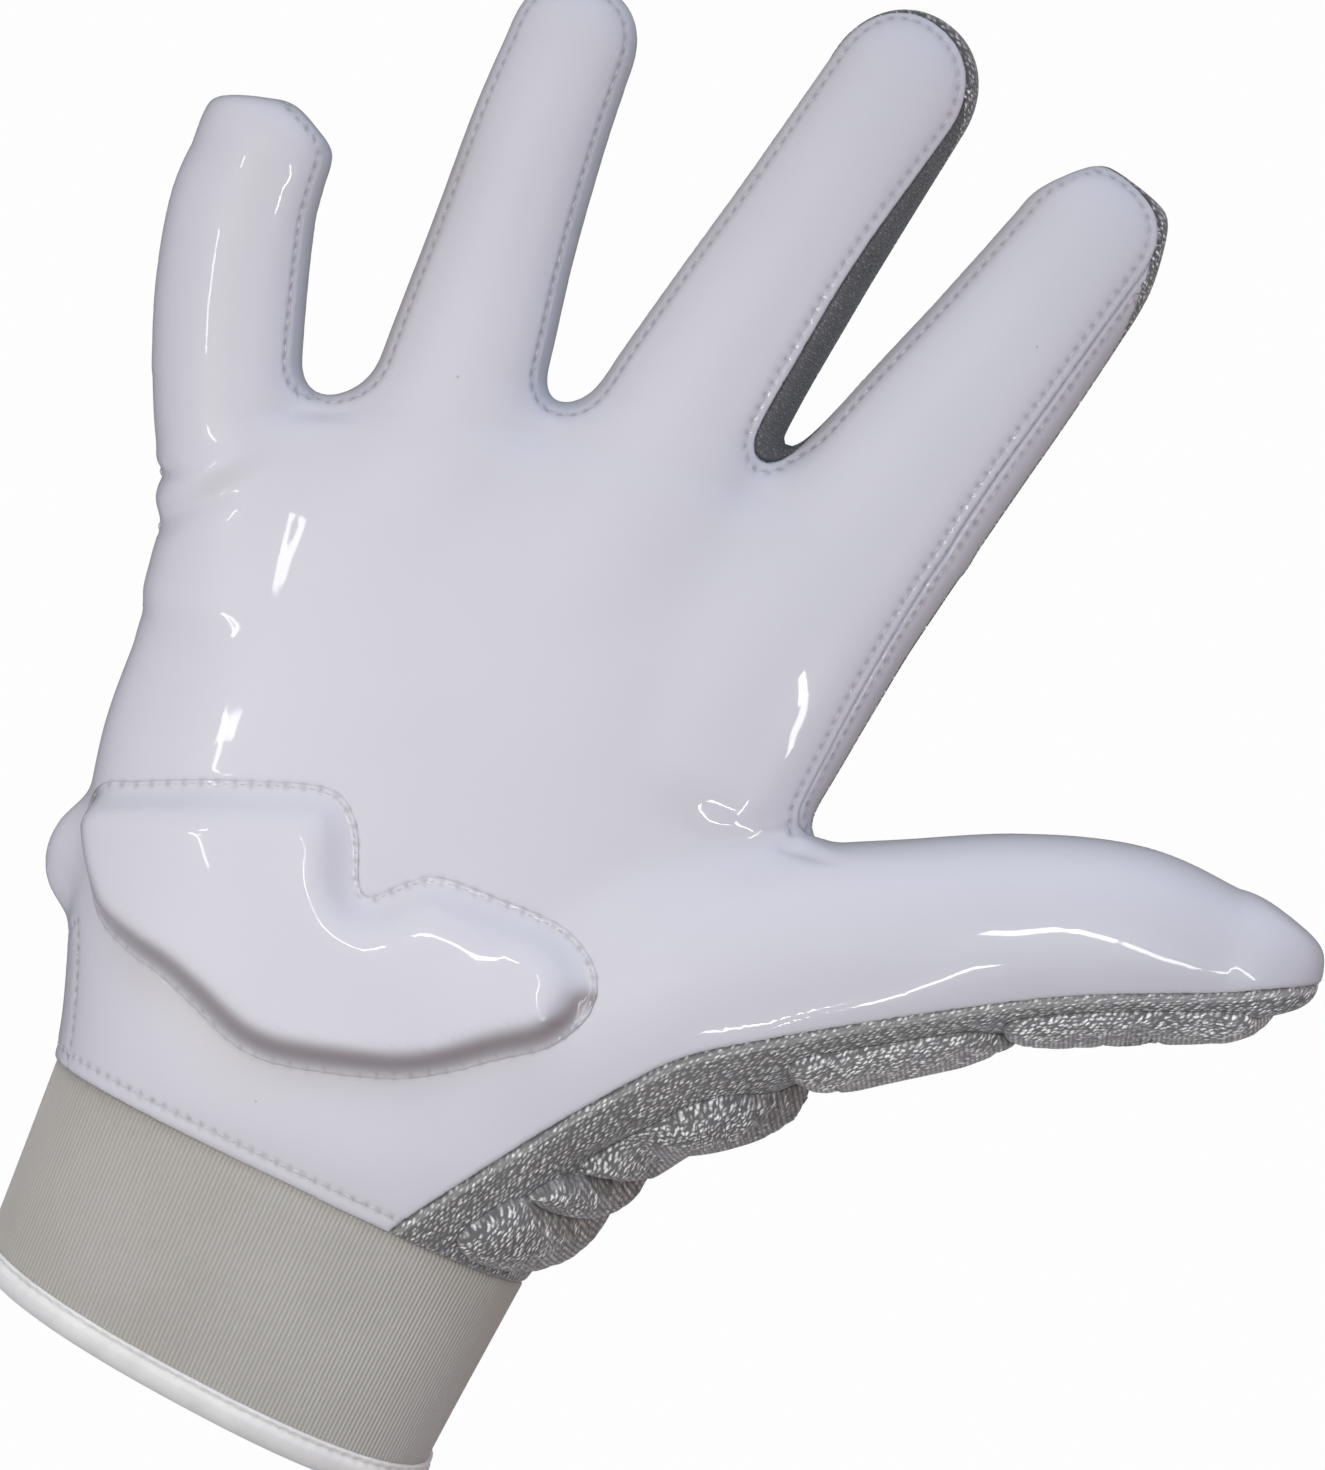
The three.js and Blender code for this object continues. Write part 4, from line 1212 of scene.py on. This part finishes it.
def puffed(points, faces, free):
    """A closed skin swollen by a cloth simulation in which only the free points may move."""
    scene = bpy.context.scene
    mesh = bpy.data.meshes.new("puff")
    mesh.from_pydata((points * MM * PUFF["scale"]).tolist(), [], faces.tolist())
    piece = put("puff", mesh)
    piece.vertex_groups.new(name="held").add(np.flatnonzero(~free).tolist(), 1.0, "REPLACE")
    cloth = piece.modifiers.new("cloth", "CLOTH")
    settings = cloth.settings
    settings.quality = 6
    settings.use_pressure = True
    settings.uniform_pressure_force = PUFF["pressure"]
    settings.effector_weights.gravity = 0
    settings.vertex_group_mass = "held"
    settings.shrink_min = -PUFF["growth"]
    cloth.collision_settings.use_collision = False
    cloth.collision_settings.use_self_collision = False
    cloth.point_cache.frame_start, cloth.point_cache.frame_end = 1, PUFF["frames"]
    for frame in range(1, PUFF["frames"] + 1):
        scene.frame_set(frame)
    swollen = piece.evaluated_get(bpy.context.evaluated_depsgraph_get()).data
    places = np.empty(len(points) * 3, np.float32)
    swollen.vertices.foreach_get("co", places)
    bpy.data.objects.remove(piece)
    bpy.data.meshes.remove(mesh)
    scene.frame_set(1)
    shift = places.reshape(-1, 3) / (MM * PUFF["scale"]) - points
    long = np.linalg.norm(shift, axis=1, keepdims=True)
    return points + shift * np.minimum(1, PUFF["cap"] / np.maximum(long, 1e-9))


def add_thumb_pads(points, faces, material):
    points, faces = refine(points, faces, np.max(list(pad_borders(points).values()), axis=0) > -2)
    for name, row in THUMB_PADS.items():
        p, f = largest_part(*clip(points, faces, pad_borders(points)[name]))
        t = np.clip(pad_borders(p)[name] / PAD_REACH, 0, 1)
        high = row[PAD_COLUMNS.index("high")] * np.sqrt(1 - (1 - t) ** PAD_BULGE)
        high = evened(high, f, 2)
        border = np.unique(border_edges(f))
        high[border] = 0
        normals = skin_normals(p)
        outer = p + normals * (PAD_LAYERS["over"] + high)[:, None]
        inner = p + normals * PAD_LAYERS["under"]
        solid, solid_faces = close_up(outer, inner, f)
        free = np.arange(len(solid)) < len(p)
        free[border] = False
        solid = puffed(solid, solid_faces, free)
        marks = weave_marks(solid, mesh_normals(solid, solid_faces), 1.0)
        made = add_object(name, solid, solid_faces, material, (name,), "silver_knit", marks)


def stitch_side(points, normals, edge):
    """Positive beyond the row of stitches along the leather's edge, as a distance."""
    turn = (-normals[:, 1] - TURNED) * TURN_REACH
    outer = (normals[:, 0] < 0) * fade(points[:, 0], *OUTER_SIDE)
    return np.minimum(edge - STITCH_INSET, turn * (1 - outer) + FAR * outer)


def sewn_here(holes):
    """Stitches show along the leather's edge planes, not beside the silver knit or on the thumb."""
    turned = (holes[:, 0] > TURNED_SEAM[0]) & (holes[:, 2] < TURNED_SEAM[1])
    turned |= holes[:, 0] > THUMB_SIDE
    return (knit_side(holes) > edge_field(holes) + 1.0) & ~turned


def cuff_section(wide, deep, angles):
    """Places on the cuff's superellipse, as x and y."""
    places = []
    for size, part in ((wide, np.cos(angles)), (deep, np.sin(angles))):
        places.append(size * np.sign(part) * np.abs(part) ** (2 / CUFF_ROUNDNESS))
    return np.stack(places, 1)


def even_angles(wide, deep, count):
    """Angles that step evenly round the cuff."""
    dense = np.linspace(0, 2 * math.pi, 4001)
    arc = arc_of(cuff_section(wide, deep, dense))
    return np.interp(np.linspace(0, arc[-1], count, endpoint=False), arc, dense)


def cuff_points(heights, angles, outward):
    """Rings of the cuff at the given heights. outward is added along the section's normal."""
    table = dict(zip(CUFF_COLUMNS, smooth_rows(CUFF_ROWS, CUFF_STEPS).T))
    rings = []
    for height, out in zip(heights, outward):
        wide, deep, lean, nod = [np.interp(height, table["z"], table[name]) for name in CUFF_COLUMNS[1:]]
        flat = cuff_section(wide, deep, angles)
        level = height + lean * flat[:, 0] + nod * flat[:, 1]
        along = np.roll(flat, -1, 0) - np.roll(flat, 1, 0)
        normal = unit(np.stack([along[:, 1], -along[:, 0]], 1))
        flat = flat + normal * np.reshape(out, (-1, 1))
        rings.append(np.stack([CUFF_CENTRE_X + flat[:, 0], flat[:, 1], level], 1))
    return rings


def add_cuff(material):
    _, wide, deep, _, _ = CUFF_ROWS[1]
    perimeter = 2 * math.pi * math.sqrt((wide ** 2 + deep ** 2) / 2)
    count = RIB_SIDES * round(perimeter / RIB_PITCH)
    angles = even_angles(wide, deep, count)
    groove = 0.5 - 0.5 * np.cos(2 * math.pi * np.arange(count) / RIB_SIDES)
    last = CUFF_ROWS[-1][0]
    top, foot = last + CUFF_PAST, CUFF_PAST
    heights = list(np.linspace(foot, top, CUFF_RINGS[0]))
    wave = CUFF_WAVE * np.sin(3 * angles)
    outward = []
    for h in heights:
        tuck = -CUFF_TUCK * soft_step(np.array(h), last - CUFF_PAST, top)
        outward.append(-RIB_DEEP * groove + tuck + wave * math.sin(math.pi * (h - foot) / (top - foot)))
    inner = [np.full(count, -CUFF_WALL)] * CUFF_RINGS[1]
    rings = cuff_points(heights + list(np.linspace(top, foot, CUFF_RINGS[1])), angles, outward + inner)
    marks = {"groove": np.tile(groove, len(rings))}
    cuff = add_object("cuff", np.vstack(rings), tube_faces(len(rings), count), material, ("cuff",),
                      "rib_knit", marks)


def add_binding(material):
    count = BINDING["stitches"] * BINDING["steps"]
    angles = even_angles(CUFF_ROWS[0][1], CUFF_ROWS[0][2], count)
    proud, high = BINDING["proud"], BINDING["high"]
    sewn = high - BINDING["seam"]
    profile = (
        (high, -0.1), (high + 0.05, 0.35), (high - 0.2, 0.7), (sewn + 0.2, 0.62), (sewn, 0.45),
        (sewn - 0.25, 0.62), (sewn - 0.6, 0.95), (2.0, proud + 0.05), (1.0, proud), (0.1, proud - 0.35),
        (-0.5, -0.2), (-0.55, -1.2), (-0.3, -2.4), (0.4, -3.0), (1.4, -3.1),
        (high - 0.4, -2.9), (high, -2.5), (high - 0.2, -2.0), (1.6, -1.95), (1.3, -0.1),
    )
    stitch = 0.5 + 0.5 * np.cos(2 * math.pi * np.arange(count) / BINDING["steps"])
    outward = []
    for h, out in profile:
        dent = BINDING["pull"] * stitch * bell(h - sewn, BINDING["dent"]) * (out > 0.3)
        outward.append(np.full(count, out) - dent)
    rings = cuff_points([h for h, _ in profile], angles, outward)
    faces = [f[::-1] for f in tube_faces(len(rings), count)]
    tape = add_object("cuff_binding", np.vstack(rings), faces, material, ("cuff_binding",), "binding_tape")


# Camera, light and floor

VIEW = {"distance": 650.0, "elevation": 4.0, "roll": 25.0, "target": (21.9, 0.0, 114.25), "pixel": 0.147}
PHOTO_HIGH = 1470
SENSOR = 36


def view_axes():
    """The directions ahead, to the right and up in the picture."""
    elevation, roll = math.radians(VIEW["elevation"]), math.radians(VIEW["roll"])
    ahead = Vector((0, math.cos(elevation), -math.sin(elevation)))
    over = Vector((0, math.sin(elevation), math.cos(elevation)))
    across = Vector((1, 0, 0))
    right = across * math.cos(roll) + over * math.sin(roll)
    up = over * math.cos(roll) - across * math.sin(roll)
    return ahead, right, up


def facing(right, up, out, place):
    """Matrix of a camera or lamp at a place, with out pointing away from what it sees."""
    rows = [(right[i], up[i], out[i], place[i]) for i in range(3)]
    return Matrix((*rows, (0, 0, 0, 1)))


def add_camera():
    ahead, right, up = view_axes()
    data = bpy.data.cameras.new("camera")
    data.sensor_width = SENSOR
    data.lens = SENSOR * VIEW["distance"] / VIEW["pixel"] / PHOTO_HIGH
    data.clip_start, data.clip_end = 0.01, 20
    camera = put("camera", data)
    place = (Vector(VIEW["target"]) - ahead * VIEW["distance"]) * MM
    camera.matrix_world = facing(right, up, -ahead, place)
    bpy.context.scene.camera = camera


def way_to(azimuth, elevation):
    """Direction from the hand, in degrees to the right of the camera and above it."""
    ahead, right, up = view_axes()
    turn, lift = math.radians(azimuth), math.radians(elevation)
    return (right * math.sin(turn) - ahead * math.cos(turn)) * math.cos(lift) + up * math.sin(lift)


def add_light(name, place, upward, size, radiance, color=(1, 1, 1)):
    """A flat light at a place that faces the middle of the hand, with its length along upward."""
    data = bpy.data.lights.new(name, "AREA")
    data.shape = "RECTANGLE"
    data.size, data.size_y = size
    data.energy = radiance * math.pi * size[0] * size[1]
    data.color = color
    light = put(name, data)
    out = (place - Vector(VIEW["target"]) * MM).normalized()
    up = (upward - out * upward.dot(out)).normalized()
    light.matrix_world = facing(up.cross(out), up, out, place)
    return light


# Large soft lights: direction in degrees to the right and up, distance and side in metres,
# radiance and color
SOFT_LIGHTS = {
    "front_top": (0, 70, 1.5, 1.0, 2.45, (1, 0.9, 0.79)),
    "left": (-90, 0, 1.5, 1.0, 2.0, (0.6, 0.72, 1)),
    "right": (90, 0, 1.5, 1.0, 1.2, (1, 0.5, 0.3)),
    "right_top": (50, 55, 1.5, 1.0, 2.2, (0.38, 0.64, 1)),
    "near_left": (-22, 0, 0.27, 0.2, 3.15, (1, 0.94, 0.85)),
    "near_right": (24, -6, 0.27, 0.2, 1.35, (0.81, 0.89, 1)),
    "knit_fill": (48, -14, 0.2, 0.12, 1.6, (1, 1, 1)),
    "behind": (175, 30, 1.5, 1.0, 2.2, (1, 1, 1)),
}
# Narrow lamps that only the gloss shows: both ends and width in millimetres, and radiance
STRIP_LIGHTS = {
    "strip_little": ((-92, -124, 108), (-96, -125, 127), 4.5, 8),
    "strip_palm_top": ((-76, -106, 96), (-85, -102, 93.5), 2.0, 8),
    "strip_palm_low": ((-85, -102, 94), (-65, -109, 86), 1.6, 8),
    "strip_thumb": ((98, -167, 128), (133, -163, 116), 6.5, 14),
    "strip_thumb_tip": ((133, -163, 116), (182, -144, 95), 6.0, 10),
    "strip_seam": ((103.5, -94.5, 39), (113, -110.5, 83.5), 2.6, 20),
    "strip_low": ((67.5, -114, 50.5), (97, -101, 45.5), 1.7, 20),
    "strip_pad": ((-110, -500, 330), (290, -440, 40), 12.0, 16),
}
# Lamps that fall on some pieces only, and the starts of those pieces' names
LIT_ALONE = {
    "strip_pad": ("heel_pad",),
    "knit_fill": ("back_panel", "thumb_pad_1", "thumb_pad_2"),
    "behind": ("back_panel", "cuff"),
}

ROOM = (0.22, 0.22, 0.23, 1)  # what lights the glove from all sides
BACKDROP = (0.985, 0.985, 0.985, 1)  # what the camera sees behind it
FLOOR = {"half": 0.9, "level": -0.45}  # in metres


def add_world():
    world = bpy.data.worlds.new("studio")
    world.use_nodes = True
    tree = world.node_tree
    surface = tree.nodes["Background"]
    seen = tree.nodes.new("ShaderNodeLightPath")
    mix = tree.nodes.new("ShaderNodeMix")
    mix.data_type = "RGBA"
    mix.inputs["A"].default_value = ROOM
    mix.inputs["B"].default_value = BACKDROP
    tree.links.new(seen.outputs["Is Camera Ray"], mix.inputs["Factor"])
    tree.links.new(mix.outputs["Result"], surface.inputs["Color"])
    bpy.context.scene.world = world
    bpy.context.scene.view_settings.view_transform = "Standard"


def add_lights():
    _, _, up = view_axes()
    middle = Vector(VIEW["target"]) * MM
    for name, (azimuth, elevation, away, side, radiance, color) in SOFT_LIGHTS.items():
        place = middle + way_to(azimuth, elevation) * away
        light = add_light(name, place, up + Vector((0, 0.3, 0)), (side, side), radiance, color)
        light.visible_glossy = False
        light.visible_camera = False
    for name, (start, end, wide, radiance) in STRIP_LIGHTS.items():
        a, b = Vector(start) * MM, Vector(end) * MM
        light = add_light(name, (a + b) / 2, b - a, (wide * MM, (b - a).length), radiance)
        light.visible_diffuse = False
        light.visible_camera = False


def add_floor():
    floor = bpy.data.meshes.new("floor")
    half, level = FLOOR["half"], FLOOR["level"]
    corners = [(-half, -half, level), (half, -half, level), (half, half, level), (-half, half, level)]
    floor.from_pydata(corners, [], [(0, 1, 2, 3)])
    s = Shader("floor")
    s.set(Roughness=0.9)
    s.link(s.ramp(s.noise(s.place(), 0.002), (0.3, grey(0.93)), (0.7, grey(0.95))), "Base Color")
    floor.materials.append(s.material)
    plane = put("floor", floor)


# Assembly

def light_alone():
    """Lets the lamps of LIT_ALONE fall on their own pieces only."""
    for lamp, pieces in LIT_ALONE.items():
        lit = bpy.data.collections.new(lamp)
        for here in bpy.data.objects:
            if here.name.startswith(pieces):
                lit.objects.link(here)
        bpy.data.objects[lamp].light_linking.receiver_collection = lit


def hand_mesh():
    """The skin above the wrist, finer along its seams and round the heel pad."""
    points, faces = mesh_of_field()
    normals = skin_normals(points)
    edge = on_skin(leather_field, points, normals)
    wanted = (np.abs(edge) < SEAM_ZONE) | (np.abs(heel_side(points)) < HEEL_ZONE)
    wanted |= np.abs(stitch_side(points, normals, edge)) < SEAM_ZONE
    wanted |= above_wrist(points) < HEM + SEAM_ZONE
    points, faces = refine(points, faces, wanted)
    return largest_part(*clip(points, faces, above_wrist(points)))


def add_palm(points, faces, leather, thread):
    """The leather of the palm with its heel pad and stitches."""
    normals = skin_normals(points)
    edge = on_skin(leather_field, points, normals)
    wrist = above_wrist(points)
    side = stitch_side(points, normals, edge)
    rows = sewn_rows(contour(points, faces, side, 0.0), STITCH, sewn_here)
    rows += sewn_rows(contour(points, faces, wrist, HEM), STITCH)
    pad_rows = add_heel_pad(points, faces, leather, thread)
    # The stitch relief also gives the painted shade in the holes, carried by the mark sewn
    relief, holes = stitch_relief(points, rows, STITCH)
    pad_relief, pad_hole_shade = stitch_relief(points, pad_rows, PAD_STITCH)
    skin_piece("palm_panel", points, faces, np.minimum(edge, wrist), leather, "palm_leather",
               LIFT["palm"], relief + pad_relief + crease_relief(points),
               {"sewn": np.maximum(holes, pad_hole_shade)})
    add_stitches("palm_stitches", rows, STITCH, thread, LIFT["palm_thread"])


def add_strips(points, faces, leather, strip, thread):
    """The side strips of the fingers. Gives what they leave of the mesh."""
    for name in STRIPS:
        value = strip_field(name, points, leather_field(points))
        own = largest_part(*clip(points, faces, value))
        points, faces = clip(points, faces, -value)
        edge = -leather_field(own[0])
        if name.startswith("fourchette"):
            skin_piece(name, *own, edge, strip, "strip_knit", LIFT["strip"])
            continue
        rows = sewn_rows(contour(*own, edge, SIDE_INSET), STITCH)
        # The stitch relief also gives the painted shade in the holes, carried by the mark sewn
        relief, holes = stitch_relief(own[0], rows, STITCH)
        skin_piece(name, *own, edge, leather, "palm_leather", LIFT["strip"], relief, {"sewn": holes})
        add_stitches("index_side_stitches", rows, STITCH, thread, LIFT["side_thread"])
    return points, faces


def add_back(points, faces, silver):
    edge = np.minimum(-leather_field(points), above_wrist(points))
    marks = weave_marks(points, skin_normals(points), 0.0)
    skin_piece("back_panel", points, faces, edge, silver, "silver_knit", marks=marks)


def build():
    leather = leather_material()
    silver = knit_material("silver_knit", (0.135, 0.132, 0.135), (0.98, 0.98, 0.98))
    # The side strips' knit is dark grey, partly its own colour and partly painted shade of the hollows
    # between the fingers
    strip = knit_material("strip_knit", (0.12, 0.12, 0.125), (0.30, 0.30, 0.31), 0.6)
    ribbed = rib_material()
    tape = tape_material()
    thread = thread_material()
    points, faces = hand_mesh()
    field = leather_field(points)
    add_palm(*largest_part(*clip(points, faces, field)), leather, thread)
    rest = largest_part(*add_strips(*clip(points, faces, -field), leather, strip, thread))
    add_back(*rest, silver)
    add_thumb_pads(*rest, silver)
    add_cuff(ribbed)
    add_binding(tape)
    light_alone()


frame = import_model()
add_camera()
add_world()
add_lights()
add_floor()
build()
